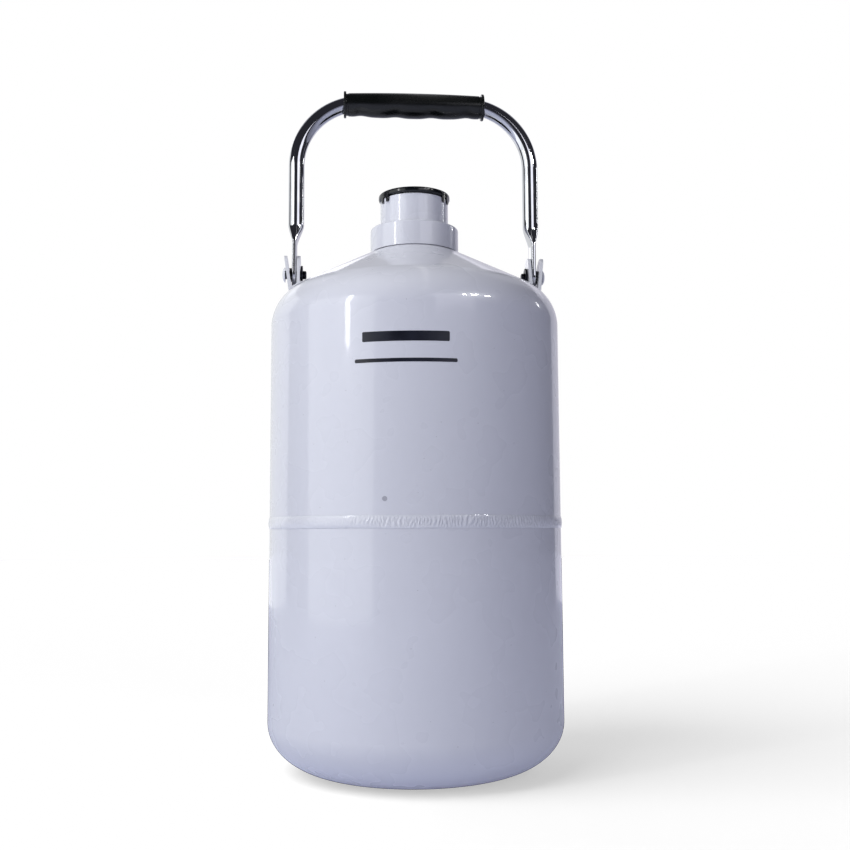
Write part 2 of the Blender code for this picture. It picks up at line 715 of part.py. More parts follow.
def make_brackets(paint):
    shell = [(0, WALL_TOP - FOOT_HALF_WIDTH), (SHELL_RADIUS + GAP, WALL_TOP - FOOT_HALF_WIDTH)]
    shell += [*shoulder_curve(GAP, NECK_HOLE), (0, cone_height(NECK_HOLE, GAP))]
    shell_cutter = as_tool(turned("shell_cutter", shell, LARGE_STEPS))
    hole_radius = PIN_RADIUS + GAP
    reach = SHELL_RADIUS
    hole = [(0, -reach), (hole_radius, -reach), (hole_radius, reach), (0, reach)]
    hole_cutter = as_tool(turned("bracket_pin_hole", hole, SMALL_STEPS))
    hole_cutter.location.z = PIVOT_HEIGHT
    hole_cutter.rotation_euler.y = pi / 2

    for side, word in ((1, "right"), (-1, "left")):
        folded = [(side * x, -FOOT_HALF_WIDTH - GAP, z) for x, z in bracket_section()]
        width = 2 * (FOOT_HALF_WIDTH + GAP)
        bracket = extruded(f"bracket_{word}", folded, (0, width, 0), paint)
        outline = [(side * EAR_INNER / 2, y, z) for y, z in ear_outline()]
        blank = as_tool(extruded(f"ear_blank_{word}", outline, (side * SHELL_RADIUS, 0, 0)))
        boolean(bracket, blank, "INTERSECT")
        boolean(bracket, shell_cutter, "DIFFERENCE")
        boolean(bracket, hole_cutter, "DIFFERENCE")


def make_pivots(steel, nylon):
    """Turned about Z with the outer end up, then laid along X on each side."""
    head_seat = EAR_OUTER + SHEET / cos(EAR_LEAN) + PIN_HEAD_RADIUS * tan(EAR_LEAN) + GAP
    tip = WASHER_INNER - PIN_TIP
    head = arc((0, head_seat), (PIN_HEAD_RADIUS, PIN_HEAD_RISE), 0, pi / 2, 4)
    rounding = PIN_RADIUS / 3
    pin = [
        (0, tip),
        *arc((PIN_RADIUS - rounding, tip + rounding), (rounding, rounding), -pi / 2, 0, 2),
        (PIN_RADIUS, head_seat),
        *head,
    ]
    washer_outer = WASHER_INNER + WASHER_THICKNESS
    washer_hole = PIN_RADIUS + GAP
    washer = [
        (washer_hole, WASHER_INNER),
        (WASHER_RADIUS, WASHER_INNER),
        (WASHER_RADIUS, washer_outer),
        (washer_hole, washer_outer),
    ]
    bush_inner = TAB_OFFSET + TAB_THICKNESS / 2 + GAP
    bush_outer = EAR_OUTER + BUSH_RADIUS * tan(EAR_LEAN)
    bush = [
        (washer_hole, bush_inner),
        (BUSH_RADIUS, bush_inner),
        (BUSH_RADIUS, bush_outer),
        (washer_hole, bush_outer),
    ]
    for side, word in ((1, "right"), (-1, "left")):
        for name, profile, material in (
            ("pivot_pin", pin, steel),
            ("pivot_washer", washer, steel),
            ("pivot_bush", bush, nylon),
        ):
            piece = turned(f"{name}_{word}", profile, SMALL_STEPS, material)
            piece.location.z = PIVOT_HEIGHT
            piece.rotation_euler.y = side * pi / 2
        trim_bush(piece, side, word)


def trim_bush(bush, side, word):
    """Cuts the bush's outer end parallel to the leaning ear."""
    size = SHELL_RADIUS
    face = EAR_OUTER - GAP / cos(EAR_LEAN)
    shift = BUSH_RADIUS * 2 * tan(EAR_LEAN)
    outline = [
        (face - shift, -2 * BUSH_RADIUS),
        (size, -2 * BUSH_RADIUS),
        (size, 2 * BUSH_RADIUS),
        (face + shift, 2 * BUSH_RADIUS),
    ]
    points = [(side * x, -2 * BUSH_RADIUS, PIVOT_HEIGHT + z) for x, z in outline]
    cutter = as_tool(extruded(f"bush_trim_{word}", points, (0, 4 * BUSH_RADIUS, 0)))
    boolean(bush, cutter, "DIFFERENCE")


# ---- Assembly ------------------------------------------------------------------------------


def main():
    clear_scene()
    paint = make_material("white_paint", (0.80, 0.80, 0.86), 0.22)
    plastic = make_material("black_plastic", (0.012, 0.012, 0.016), 0.25)
    vinyl = make_material("black_vinyl", (0.010, 0.010, 0.012), 0.45)
    chrome = make_material("chrome_plate", (0.72, 0.72, 0.76), 0.06, 1.0)
    steel = make_material("dark_steel", (0.10, 0.10, 0.12), 0.35, 1.0)
    nylon = make_material("black_nylon", (0.015, 0.015, 0.018), 0.5)
    aluminium = make_material("bare_aluminium", (0.78, 0.79, 0.80), 0.35, 1.0)
    glass_fibre = make_material("glass_fibre", (0.55, 0.60, 0.42), 0.5)
    foam = make_material("stopper_foam", (0.86, 0.83, 0.74), 0.9)
    foil = make_material("foil_insulation", (0.75, 0.76, 0.78), 0.3, 0.8)
    mesh_metal = make_material("adsorbent_bag", (0.55, 0.55, 0.52), 0.7)
    rubber = make_material("black_rubber", (0.02, 0.02, 0.02), 0.7)

    shell = make_outer_shell(paint)
    make_neck(paint, glass_fibre, plastic)
    make_stopper(plastic, foam)
    make_inner_vessel(aluminium)
    make_insulation(foil, mesh_metal)
    make_port(shell, aluminium, rubber, plastic)
    make_handle(chrome, vinyl)
    make_brackets(paint)
    make_pivots(steel, nylon)


main()
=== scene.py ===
from math import acos, atan2, cos, pi, radians, sin, sqrt, tan

import bmesh
import bpy
from mathutils import Matrix, Vector, noise


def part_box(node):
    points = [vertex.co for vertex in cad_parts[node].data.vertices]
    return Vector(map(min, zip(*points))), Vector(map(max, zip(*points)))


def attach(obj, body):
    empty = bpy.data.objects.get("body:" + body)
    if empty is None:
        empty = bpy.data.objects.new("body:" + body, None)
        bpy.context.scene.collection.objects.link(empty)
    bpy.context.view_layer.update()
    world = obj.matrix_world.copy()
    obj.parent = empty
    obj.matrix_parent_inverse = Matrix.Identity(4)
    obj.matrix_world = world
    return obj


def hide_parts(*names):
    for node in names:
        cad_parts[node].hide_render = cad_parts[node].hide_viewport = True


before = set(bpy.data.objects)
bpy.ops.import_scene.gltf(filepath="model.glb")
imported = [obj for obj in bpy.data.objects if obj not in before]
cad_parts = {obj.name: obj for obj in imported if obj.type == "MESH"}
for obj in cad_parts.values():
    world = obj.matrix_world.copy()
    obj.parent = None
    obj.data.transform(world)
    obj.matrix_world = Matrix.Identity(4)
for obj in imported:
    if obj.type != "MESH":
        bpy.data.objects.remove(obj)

mm = 0.001
scene = bpy.context.scene
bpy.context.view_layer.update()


def boxOf(node):
    low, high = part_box(node)
    return low / mm, high / mm


# Places that several pieces share, in mm, read from the CAD model's boxes.
shellRadius = boxOf("outer_shell_lower")[1].x
seamTop = boxOf("outer_shell_upper")[0].z
seamBottom = boxOf("outer_shell_lower")[1].z
coneSlope = 27.2  # degrees
coneRise = tan(radians(coneSlope))
coneEdge = 85.94  # where the cone meets the round shoulder
coneEdgeHeight = 335.127
neckHole = 19.0
pinLow, pinHigh = boxOf("pivot_pin_right")
pivotHeight = (pinLow.z + pinHigh.z) / 2
print("frame read, pivot at", round(pivotHeight, 3))


def coneHeight(radius, offset=0.0):
    return coneEdgeHeight + (coneEdge - radius) * coneRise + offset * sqrt(1 + coneRise**2)


def smoothStep(t):
    t = min(1.0, max(0.0, t))
    return t * t * (3 - 2 * t)


# Materials: one function converts colours, one makes a material, one adds a node.


def hexColour(code):
    channels = [int(code[i:i + 2], 16) / 255 for i in (1, 3, 5)]
    linear = [c / 12.92 if c <= 0.04045 else ((c + 0.055) / 1.055) ** 2.4 for c in channels]
    return (*linear, 1.0)


def addNode(tree, kind, settings=None, inputs=None, links=None, stops=()):
    node = tree.nodes.new(kind)
    for key, value in (settings or {}).items():
        setattr(node, key, value)
    for key, value in (inputs or {}).items():
        node.inputs[key].default_value = value
    for key, source in (links or {}).items():
        tree.links.new(source, node.inputs[key])
    for index, (position, code) in enumerate(stops):
        node.color_ramp.elements[index].position = position
        node.color_ramp.elements[index].color = hexColour(code)
    return node


def newMaterial(name, sockets):
    # Every pattern starts from the object's own coordinates, in metres.
    material = bpy.data.materials.new(name)
    material.use_nodes = True
    tree = material.node_tree
    shader = tree.nodes["Principled BSDF"]
    for key, value in sockets.items():
        shader.inputs[key].default_value = value
    place = addNode(tree, "ShaderNodeTexCoord").outputs["Object"]
    return material, tree, shader, place


def feedShader(tree, shader, pattern, stops, gloss, bump):
    # Colour and roughness follow one pattern; gloss is its two ends and the roughness at each.
    tone = addNode(tree, "ShaderNodeValToRGB", links={"Fac": pattern}, stops=stops)
    dull = addNode(tree, "ShaderNodeMapRange", links={"Value": pattern},
                   inputs=dict(zip(rangeEnds, gloss)))
    tree.links.new(tone.outputs["Color"], shader.inputs["Base Color"])
    tree.links.new(dull.outputs["Result"], shader.inputs["Roughness"])
    tree.links.new(bump.outputs["Normal"], shader.inputs["Normal"])


def perMm(size):
    return 1 / (size * mm)


rangeEnds = ("From Min", "From Max", "To Min", "To Max")
noiseMiddle = (0.3, 0.7)  # most of a noise lies between these
rampMiddle = (0.35, 0.65)
wavesPerUnit = 20  # a wave texture of scale 1 repeats about this often


def makeEnamel(name, colours, peel, pitting=0.0):
    # Stoved gloss enamel over spun sheet: a hard even white with a clear gloss, the faint rings
    # that the spinning roller leaves, a slight peel, and a few rubbed, duller places.
    material, tree, shader, place = newMaterial(name, {
        "IOR": 1.45, "Coat Weight": 0.85, "Coat Roughness": 0.055, "Coat IOR": 1.5})
    ringwise = addNode(tree, "ShaderNodeMapping", inputs={"Scale": (0.12, 0.12, 1.0)},
                       links={"Vector": place}).outputs["Vector"]
    noises = []
    # size in mm, detail and direction of: clouds, rubbed places, roller rings, peel, pits
    for size, detail, vector in ((70, 3.0, place), (30, 2.0, place), (9, 1.0, ringwise),
                                 (1.6, 1.0, place), (0.9, 5.0, place)):
        noises.append(addNode(tree, "ShaderNodeTexNoise",
                              inputs={"Scale": perMm(size), "Detail": detail},
                              links={"Vector": vector}).outputs["Fac"])
    clouds, rubbed, rings, peelCells, pits = noises
    nibs = addNode(tree, "ShaderNodeTexVoronoi", inputs={"Scale": perMm(9), "Randomness": 1.0},
                   links={"Vector": place}).outputs["Distance"]
    nibMask = addNode(tree, "ShaderNodeMapRange", links={"Value": nibs},
                      inputs=dict(zip(rangeEnds, (0.018, 0.04, 1.0, 0.0)))).outputs["Result"]
    base = addNode(tree, "ShaderNodeValToRGB", links={"Fac": clouds},
                   stops=zip(rampMiddle, colours)).outputs["Color"]
    dotted = addNode(tree, "ShaderNodeMix", settings={"data_type": "RGBA"},
                     inputs={7: hexColour("#a9a9b0")}, links={0: nibMask, 6: base})
    dull = addNode(tree, "ShaderNodeMapRange", links={"Value": rubbed},
                   inputs=dict(zip(rangeEnds, (*noiseMiddle, 0.25, 0.31)))).outputs["Result"]
    bump = addNode(tree, "ShaderNodeBump", inputs={"Strength": 0.3, "Distance": 0.03 * mm},
                   links={"Height": rings})
    for strength, depth, cells in ((peel, 0.02, peelCells), (pitting, 0.12, pits)):
        if strength:
            bump = addNode(tree, "ShaderNodeBump",
                           inputs={"Strength": strength, "Distance": depth * mm},
                           links={"Height": cells, "Normal": bump.outputs["Normal"]})
    tree.links.new(dotted.outputs[2], shader.inputs["Base Color"])
    tree.links.new(dull, shader.inputs["Roughness"])
    tree.links.new(bump.outputs["Normal"], shader.inputs["Normal"])
    return material


def makePlastic(name, colours, roughness, grain, grainDepth, flow=(1.0, 1.0, 1.0)):
    # Moulded black plastic: near black with a blue cast, gloss that varies where the flow cooled,
    # and the fine grain of the mould wall.
    material, tree, shader, place = newMaterial(name, {"IOR": 1.53})
    along = addNode(tree, "ShaderNodeMapping", inputs={"Scale": flow},
                    links={"Vector": place}).outputs["Vector"]
    noises = []
    for size, detail in ((11, 5.0), (grain, 3.0)):
        noises.append(addNode(tree, "ShaderNodeTexNoise",
                              inputs={"Scale": perMm(size), "Detail": detail},
                              links={"Vector": along}).outputs["Fac"])
    cloud, skin = noises
    bump = addNode(tree, "ShaderNodeBump", inputs={"Strength": 0.5, "Distance": grainDepth * mm},
                   links={"Height": skin})
    feedShader(tree, shader, cloud, zip(rampMiddle, colours), (*noiseMiddle, *roughness), bump)
    return material


def makeMetal(name, colours, roughness, lines, lineDepth, waviness, stretch):
    # Bare or plated metal: the colour hardly changes, and the eye reads the finish from fine lines
    # left by drawing, polishing or spinning, and from a slow waviness under them.
    material, tree, shader, place = newMaterial(name, {"Metallic": 1.0})
    along = addNode(tree, "ShaderNodeMapping", inputs={"Scale": stretch},
                    links={"Vector": place}).outputs["Vector"]
    noises = []
    for size, detail, vector in ((14, 6.0, place), (lines, 4.0, along), (12, 1.0, place)):
        noises.append(addNode(tree, "ShaderNodeTexNoise",
                              inputs={"Scale": perMm(size), "Detail": detail},
                              links={"Vector": vector}).outputs["Fac"])
    haze, fine, slow = noises
    wavy = addNode(tree, "ShaderNodeBump", inputs={"Strength": 0.5, "Distance": waviness * mm},
                   links={"Height": slow})
    lined = addNode(tree, "ShaderNodeBump", inputs={"Strength": 0.5, "Distance": lineDepth * mm},
                    links={"Height": fine, "Normal": wavy.outputs["Normal"]})
    feedShader(tree, shader, haze, zip(rampMiddle, colours), (*noiseMiddle, *roughness), lined)
    return material


def makeWoven(name, sockets, bands, wander, stops, roughness, depth, strength):
    # Two sets of threads crossing, the higher one on top: bands gives their directions and pitch.
    material, tree, shader, place = newMaterial(name, sockets)
    waves = []
    for direction in bands[:2]:
        waves.append(addNode(tree, "ShaderNodeTexWave", settings={"bands_direction": direction},
                             inputs={"Scale": perMm(bands[2]) / wavesPerUnit, **wander},
                             links={"Vector": place}).outputs["Fac"])
    weave = addNode(tree, "ShaderNodeMath", settings={"operation": "MAXIMUM"},
                    links={0: waves[0], 1: waves[1]}).outputs["Value"]
    bump = addNode(tree, "ShaderNodeBump", inputs={"Strength": strength, "Distance": depth * mm},
                   links={"Height": weave})
    feedShader(tree, shader, weave, stops, (*noiseMiddle, *roughness), bump)
    return material


def makeFoam():
    # Moulded polystyrene foam: cream beads about 2.6 mm across, pressed flat at the skin.
    material, tree, shader, place = newMaterial("beadFoam", {"IOR": 1.45})
    cells = addNode(tree, "ShaderNodeTexVoronoi", settings={"feature": "DISTANCE_TO_EDGE"},
                    inputs={"Scale": perMm(2.6)}, links={"Vector": place}).outputs["Distance"]
    rise = addNode(tree, "ShaderNodeMapRange", links={"Value": cells},
                   inputs=dict(zip(rangeEnds, (0.0, 0.16, 0.0, 1.0)))).outputs["Result"]
    bump = addNode(tree, "ShaderNodeBump", inputs={"Strength": 0.8, "Distance": 0.25 * mm},
                   links={"Height": rise})
    feedShader(tree, shader, cells, ((0.0, "#b9b19a"), (0.12, "#e9e3d1")),
               (0.0, 0.2, 0.95, 0.7), bump)
    return material


def makeFoil():
    # Aluminised film over paper, wound by hand: bright, and creased every few millimetres.
    material, tree, shader, place = newMaterial("crinkledFoil", {"Metallic": 1.0})
    creases = addNode(tree, "ShaderNodeTexVoronoi", settings={"feature": "DISTANCE_TO_EDGE"},
                      inputs={"Scale": perMm(7)}, links={"Vector": place}).outputs["Distance"]
    crumple = addNode(tree, "ShaderNodeTexNoise", inputs={"Scale": perMm(3), "Detail": 4.0},
                      links={"Vector": place}).outputs["Fac"]
    folded = addNode(tree, "ShaderNodeBump", inputs={"Strength": 0.8, "Distance": 0.6 * mm},
                     links={"Height": creases})
    bump = addNode(tree, "ShaderNodeBump", inputs={"Strength": 0.6, "Distance": 0.3 * mm},
                   links={"Height": crumple, "Normal": folded.outputs["Normal"]})
    feedShader(tree, shader, crumple, zip(rampMiddle, ("#b4b6ba", "#dcdde0")),
               (*noiseMiddle, 0.16, 0.34), bump)
    return material


enamel = makeEnamel("stovedEnamel", ("#dbdce5", "#dcdde6"), 0.08)
# the weld carries the shell's own white enamel, drawn a shade lighter: painted brightness that
# stands in for the light the bead catches
weldEnamelPaintedLighter = makeEnamel("stovedEnamelOverWeldPaintedLighter", ("#dcdde6", "#e2e3ea"), 0.08, 0.08)
bracketEnamel = makeEnamel("stovedEnamelOverBracket", ("#dedfe6", "#e3e4ea"), 0.25)

# two colours, roughness range, size of the grain and its depth in mm
ringPlastic = makePlastic("mouldedAbs", ("#07080c", "#0e1015"), (0.10, 0.18), 0.9, 0.01)
gripVinyl = makePlastic("mouldedVinyl", ("#050807", "#0a0c0c"), (0.2, 0.3), 0.7, 0.02,
                        (0.4, 1.0, 1.0))
bushNylon = makePlastic("mouldedNylon", ("#0a0a0e", "#111116"), (0.4, 0.55), 0.5, 0.02)
plugRubber = makePlastic("pressedRubber", ("#121212", "#1c1c1c"), (0.65, 0.85), 0.4, 0.05)
screenInk = makePlastic("screenPrintInk", ("#10121f", "#171a2a"), (0.3, 0.45), 0.5, 0.01)
speckPaint = makePlastic("dullPaintSpeck", ("#9c9ca6", "#b0b0ba"), (0.4, 0.55), 0.5, 0.01)

# two colours, roughness range, size and depth of the lines and depth of the waves in mm, stretch
chromePlate = makeMetal("chromePlate", ("#d3d4d9", "#dddee2"), (0.035, 0.09),
                        0.8, 0.002, 0.03, (1.0, 1.0, 0.05))
darkZinc = makeMetal("darkZincPlate", ("#26272e", "#3d3e47"), (0.28, 0.42),
                     0.6, 0.02, 0.02, (1.0, 1.0, 1.0))
spunAluminium = makeMetal("spunAluminium", ("#bfc1c5", "#d0d2d5"), (0.3, 0.42),
                          1.1, 0.02, 0.04, (0.08, 0.08, 1.0))
turnedAluminium = makeMetal("turnedAluminium", ("#b9bbc0", "#cccdd1"), (0.22, 0.34),
                            0.7, 0.01, 0.01, (0.3, 0.3, 1.0))
# wound glass fibre in epoxy: a pale green-yellow with a plain weave of 1.6 mm rovings
glassFibre = makeWoven("woundGlassEpoxy", {"IOR": 1.55}, ("DIAGONAL", "Z", 1.6),
                       {"Distortion": 0.6, "Detail": 1.0, "Detail Scale": 2.0},
                       ((0.3, "#8f9166"), (1.0, "#c3c193")), (0.45, 0.28), 0.12, 0.6)
# stainless wire cloth round the adsorbent: a dull grey mesh, drawn coarser than it is so it shows
wireCloth = makeWoven("wireCloth", {"Metallic": 0.8}, ("X", "Y", 1.4), {},
                      ((0.35, "#5d5850"), (0.8, "#b5b4af")), (0.7, 0.4), 0.3, 0.8)
foam = makeFoam()
foil = makeFoil()
print("materials made")

# Shaping: profiles are drawn in the XZ plane in mm as (radius, height), and turned about an axis.


def vertsIn(items):
    return [item for item in items if isinstance(item, bmesh.types.BMVert)]


def edgesIn(items):
    return [item for item in items if isinstance(item, bmesh.types.BMEdge)]


def everything(bm):
    return bm.verts[:] + bm.edges[:] + bm.faces[:]


def faceOut(bm):
    bmesh.ops.recalc_face_normals(bm, faces=bm.faces)


def thicken(bm, vector):
    pushed = bmesh.ops.extrude_face_region(bm, geom=bm.faces[:])
    bmesh.ops.translate(bm, verts=vertsIn(pushed["geom"]), vec=vector)


def oblong(inner, outer, low, high):
    # the profile of a plain ring, or of a disc where inner is 0
    return [(inner, low), (outer, low), (outer, high), (inner, high)]


def drawLine(bm, points, closed=False, after=None):
    verts = [after] if after else []
    verts += [bm.verts.new((x * mm, 0, z * mm)) for x, z in points]
    pairs = list(zip(verts, verts[1:]))
    if closed:
        pairs.append((verts[-1], verts[0]))
    for a, b in pairs:
        bm.edges.new((a, b))
    return verts


def sweepArc(bm, vert, centre, degrees, steps, stretch=1.0):
    # Sweeps a wire from vert, counterclockwise seen from the front; stretch makes it an ellipse.
    centreX, centreZ = centre[0] * mm, centre[1] * mm
    vert.co.x = centreX + (vert.co.x - centreX) / stretch
    before = set(bm.verts)
    swept = bmesh.ops.spin(bm, geom=[vert], cent=(centreX, 0, centreZ), axis=(0, -1, 0),
                           dvec=(0, 0, 0), angle=radians(degrees), steps=steps)
    for point in [vert, *(set(bm.verts) - before)]:
        point.co.x = centreX + (point.co.x - centreX) * stretch
    return vertsIn(swept["geom_last"])[0]


def cutUp(bm, longest):
    # Divides the long wires of a profile, so that shading and waviness have points to follow.
    for edge in list(bm.edges):
        cuts = int(edge.calc_length() / (longest * mm))
        if cuts:
            bmesh.ops.subdivide_edges(bm, edges=[edge], cuts=cuts)


def turn(bm, steps, axis=(0, 0, 1), centre=(0, 0, 0)):
    bmesh.ops.spin(bm, geom=bm.verts[:] + bm.edges[:], cent=centre, axis=axis,
                   dvec=(0, 0, 0), angle=2 * pi, steps=steps, use_merge=True)
    bmesh.ops.remove_doubles(bm, verts=bm.verts, dist=0.0005 * mm)
    bmesh.ops.dissolve_degenerate(bm, edges=bm.edges, dist=0.0005 * mm)
    faceOut(bm)


def soften(bm, width, segments=4, least=35, where=None):
    edges = [e for e in bm.edges if e.is_manifold and e.calc_face_angle(0) > radians(least)]
    if where:
        edges = [e for e in edges if where((e.verts[0].co + e.verts[1].co) / 2 / mm)]
    bmesh.ops.bevel(bm, geom=edges, offset=width * mm, offset_type="OFFSET", affect="EDGES",
                    segments=segments, profile=0.5, material=-1, clamp_overlap=True)


def radiusOf(point):
    return sqrt(point.x**2 + point.y**2)


def drawIn(vert, depth):
    shrink = 1 - depth / (radiusOf(vert.co) / mm)
    vert.co.x *= shrink
    vert.co.y *= shrink


def turned(points, steps, edge=0.0, segments=4, longest=0.0):
    bm = bmesh.new()
    drawLine(bm, points, closed=True)
    if longest:
        cutUp(bm, longest)
    turn(bm, steps)
    if edge:
        soften(bm, edge, segments)
    return bm


def asObject(name, bm, material=None, sharp=50):
    mesh = bpy.data.meshes.new(name)
    bm.to_mesh(mesh)
    bm.free()
    mesh.shade_smooth()
    mesh.set_sharp_from_angle(angle=radians(sharp))
    obj = bpy.data.objects.new(name, mesh)
    scene.collection.objects.link(obj)
    if material:
        mesh.materials.append(material)
    return obj


def bake(obj, helpers=()):
    # Applies the modifiers, and removes the objects that they used.
    bpy.context.view_layer.update()
    graph = bpy.context.evaluated_depsgraph_get()
    mesh = bpy.data.meshes.new_from_object(obj.evaluated_get(graph))
    obj.modifiers.clear()
    obj.data = mesh
    for helper in helpers:
        bpy.data.objects.remove(helper)


def combine(obj, other, operation):
    modifier = obj.modifiers.new(operation.title(), "BOOLEAN")
    modifier.operation = operation
    modifier.solver = "EXACT"
    modifier.object = other
    bake(obj, [other])


def wall(obj, thickness):
    modifier = obj.modifiers.new("Wall", "SOLIDIFY")
    modifier.thickness = thickness * mm
    modifier.offset = -1
    modifier.use_even_offset = True
    bake(obj)
    obj.data.set_sharp_from_angle(angle=radians(50))


def finish(obj, body, slotName, *nodes):
    weighted = obj.modifiers.new("Weighted", "WEIGHTED_NORMAL")
    weighted.keep_sharp = True
    weighted.weight = 80
    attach(obj, body)
    if nodes:
        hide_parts(*nodes)
    return obj


# Outer shell: two spun halves. The shoulder stops short of the cone, which leaves a soft crease.
shell = {
    "steps": 256, "wall": 1.5, "wallTop": 308.0, "shoulderRadius": 30.5, "creaseAngle": 4.5,
    "creaseWidth": 1.2, "shoulderSteps": 28, "cornerWidth": 45.0, "cornerHeight": 34.0,
    "panelRadius": 50.0, "panelDepth": 1.0, "row": 9.0, "dent": 0.06,
}


def spinShell(name, bm, material):
    turn(bm, shell["steps"])
    for vert in bm.verts:
        # a spun sheet is never dead true, which gives reflections a slow drift
        outward = Vector((vert.co.x, vert.co.y, 0)).normalized()
        drift = 0.5 + 0.5 * noise.noise(vert.co / (60 * mm))
        vert.co -= outward * (drift * shell["dent"] * mm if vert.co.z > 2 * mm else 0)
    obj = asObject(name, bm, material, 60)
    wall(obj, shell["wall"])
    return obj


def makeShell():
    inner = shellRadius - shell["shoulderRadius"]
    bm = bmesh.new()
    top = drawLine(bm, [(shellRadius, seamTop), (shellRadius, shell["wallTop"])])[-1]
    turnAngle = 90 - coneSlope - shell["creaseAngle"]
    top = sweepArc(bm, top, (inner, shell["wallTop"]), turnAngle, shell["shoulderSteps"])
    tip = Vector((neckHole * mm, 0, coneHeight(neckHole) * mm))
    near = top.co.lerp(tip, shell["creaseWidth"] * mm / (tip - top.co).length) / mm
    drawLine(bm, [(near.x, near.z), (neckHole, coneHeight(neckHole))], after=top)
    cutUp(bm, shell["row"])
    upper = spinShell("shellUpper", bm, enamel)

    bm = bmesh.new()
    line = drawLine(bm, [(shellRadius, seamBottom), (shellRadius, shell["cornerHeight"])])
    centre = (shellRadius - shell["cornerWidth"], shell["cornerHeight"])
    ratio = shell["cornerWidth"] / shell["cornerHeight"]
    low = sweepArc(bm, line[-1], centre, -90, shell["shoulderSteps"], ratio)
    panel = shell["panelRadius"]
    drawLine(bm, [(panel + 4, 0), (panel + 2.6, 0.25 * shell["panelDepth"]),
                  (panel + 1, 0.85 * shell["panelDepth"]), (panel - 1, shell["panelDepth"]),
                  (0, shell["panelDepth"])], after=low)
    cutUp(bm, shell["row"])
    lower = spinShell("shellLower", bm, enamel)
    finish(lower, "dewar", "white_paint", "outer_shell_lower")
    return upper


shellUpper = makeShell()
print("shell made")

# Girth weld: one run of bead, each ripple a small crescent laid over the last one.
weld = {"steps": 2160, "ripples": 250, "halfWidth": 4.0, "rows": 12, "crescent": 1.6,
        "ripple": 0.6, "wander": 0.7, "low": 0.2, "startAngle": -66, "root": 1.7,
        "proud": 0.12}


def beadMesh(radius, thickness, height, halfWidth, crest, rows, steps):
    # A bead with its root in the seam, standing a hair proud of the sheet on both sides of it.
    inside = radius - thickness
    step = radius + weld["proud"]
    root = weld["root"]
    bm = bmesh.new()
    line = drawLine(bm, [(inside, height + root), (inside, height - root),
                         (step, height - root), (step, height - halfWidth)])
    last = sweepArc(bm, line[-1], (step, height), 180, rows, (crest - step) / halfWidth)
    drawLine(bm, [(step, height + root)], after=last)
    bm.verts.ensure_lookup_table()
    bm.edges.new((bm.verts[-1], line[0]))
    turn(bm, steps)
    return bm, step


def makeWeld():
    height = (seamTop + seamBottom) / 2
    crest = boxOf("girth_weld")[1].x
    bm, step = beadMesh(shellRadius, shell["wall"], height, weld["halfWidth"], crest,
                        weld["rows"], weld["steps"])
    for vert in bm.verts:
        radius = radiusOf(vert.co) / mm
        if radius < step - 0.01:
            continue
        angle = atan2(vert.co.y, vert.co.x)
        across = (vert.co.z / mm - height) / weld["halfWidth"]
        if radius > step + 0.01:
            here = Vector((cos(angle), sin(angle), 0.3 * across))
            uneven = noise.noise(here * 7) * 1.6 + noise.noise(here * 23) * 0.5
            bowed = weld["crescent"] * across**2 + 0.9 * across
            saw = (angle * weld["ripples"] / (2 * pi) + bowed + uneven) % 1.0
            lift = smoothStep(saw / 0.75) * (1 - smoothStep((saw - 0.75) / 0.25))
            nearStart = cos(angle - radians(weld["startAngle"]))  # the welder slowed down here
            heavy = 0.15 + 0.85 * max(0.0, nearStart) ** 4
            strong = smoothStep(heavy + 0.45 * noise.noise(here * 2.3))
            crown = max(0.0, 1 - across**2)
            depth = crown * weld["ripple"] * (1 - lift) * (0.15 + 0.85 * strong)
            lumps = 0.2 * abs(noise.noise(here * 17)) + 0.12 * abs(noise.noise(here * 50))
            depth += crown * (lumps + weld["low"])
            radius = step + (crest - step) * crown**0.85
            radius = max(step + 0.02, radius - depth)
            wander = weld["wander"] * noise.noise(Vector((cos(angle), sin(angle), 4)) * 3.1)
            edge = 0.5 * noise.noise(Vector((cos(angle), sin(angle), across)) * 21)
            vert.co.z += (wander + edge * across) * (1 - 0.5 * across * across) * mm
        vert.co.x = radius * cos(angle) * mm
        vert.co.y = radius * sin(angle) * mm
    finish(asObject("girthWeld", bm, weldEnamelPaintedLighter, 70), "dewar", "white_paint", "girth_weld")


makeWeld()
print("weld made")

# Neck: collar, sleeve and glass fibre tube, from the outside in.
neck = {"steps": 192, "edge": 1.0, "footEdge": 0.45, "innerEdge": 0.25, "bore": 17.5, "gap": 0.3}


def makeNeck():
    for node, name, foot in (("neck_collar", "neckCollar", neck["footEdge"]),
                             ("neck_sleeve", "neckSleeve", neck["innerEdge"])):
        low, high = boxOf(node)
        outer = high.x
        inside = coneHeight(neckHole, neck["gap"]) if node == "neck_collar" else low.z
        bm = turned([(neckHole, inside), (outer, low.z), (outer, high.z), (neckHole, high.z)],
                    neck["steps"])
        soften(bm, neck["edge"], 6, where=lambda p: radiusOf(p) > outer - 1 and p.z > high.z - 1)
        soften(bm, foot, 3, where=lambda p: radiusOf(p) > outer - 1 and p.z < low.z + 1)
        finish(asObject(name, bm, enamel), "dewar", "white_paint", node)

    low, high = boxOf("neck_tube")
    bm = turned(oblong(neck["bore"], high.x, low.z, high.z), 128, neck["innerEdge"], 2, 12)
    finish(asObject("neckTube", bm, glassFibre), "dewar", "glass_fibre", "neck_tube")


makeNeck()

# Index ring: a moulded mouth ring with three slotted lugs, each a flat blank bent round the neck.
ring = {"steps": 192, "edge": 1.3, "seat": 21.7, "floor": 1.4, "lugInner": 24.9, "lugOuter": 25.75,
        "lugAngle": 22.0, "slot": 4.2, "lugCorner": 1.1, "lugAngles": (90, 210, 330), "height": 3.9}


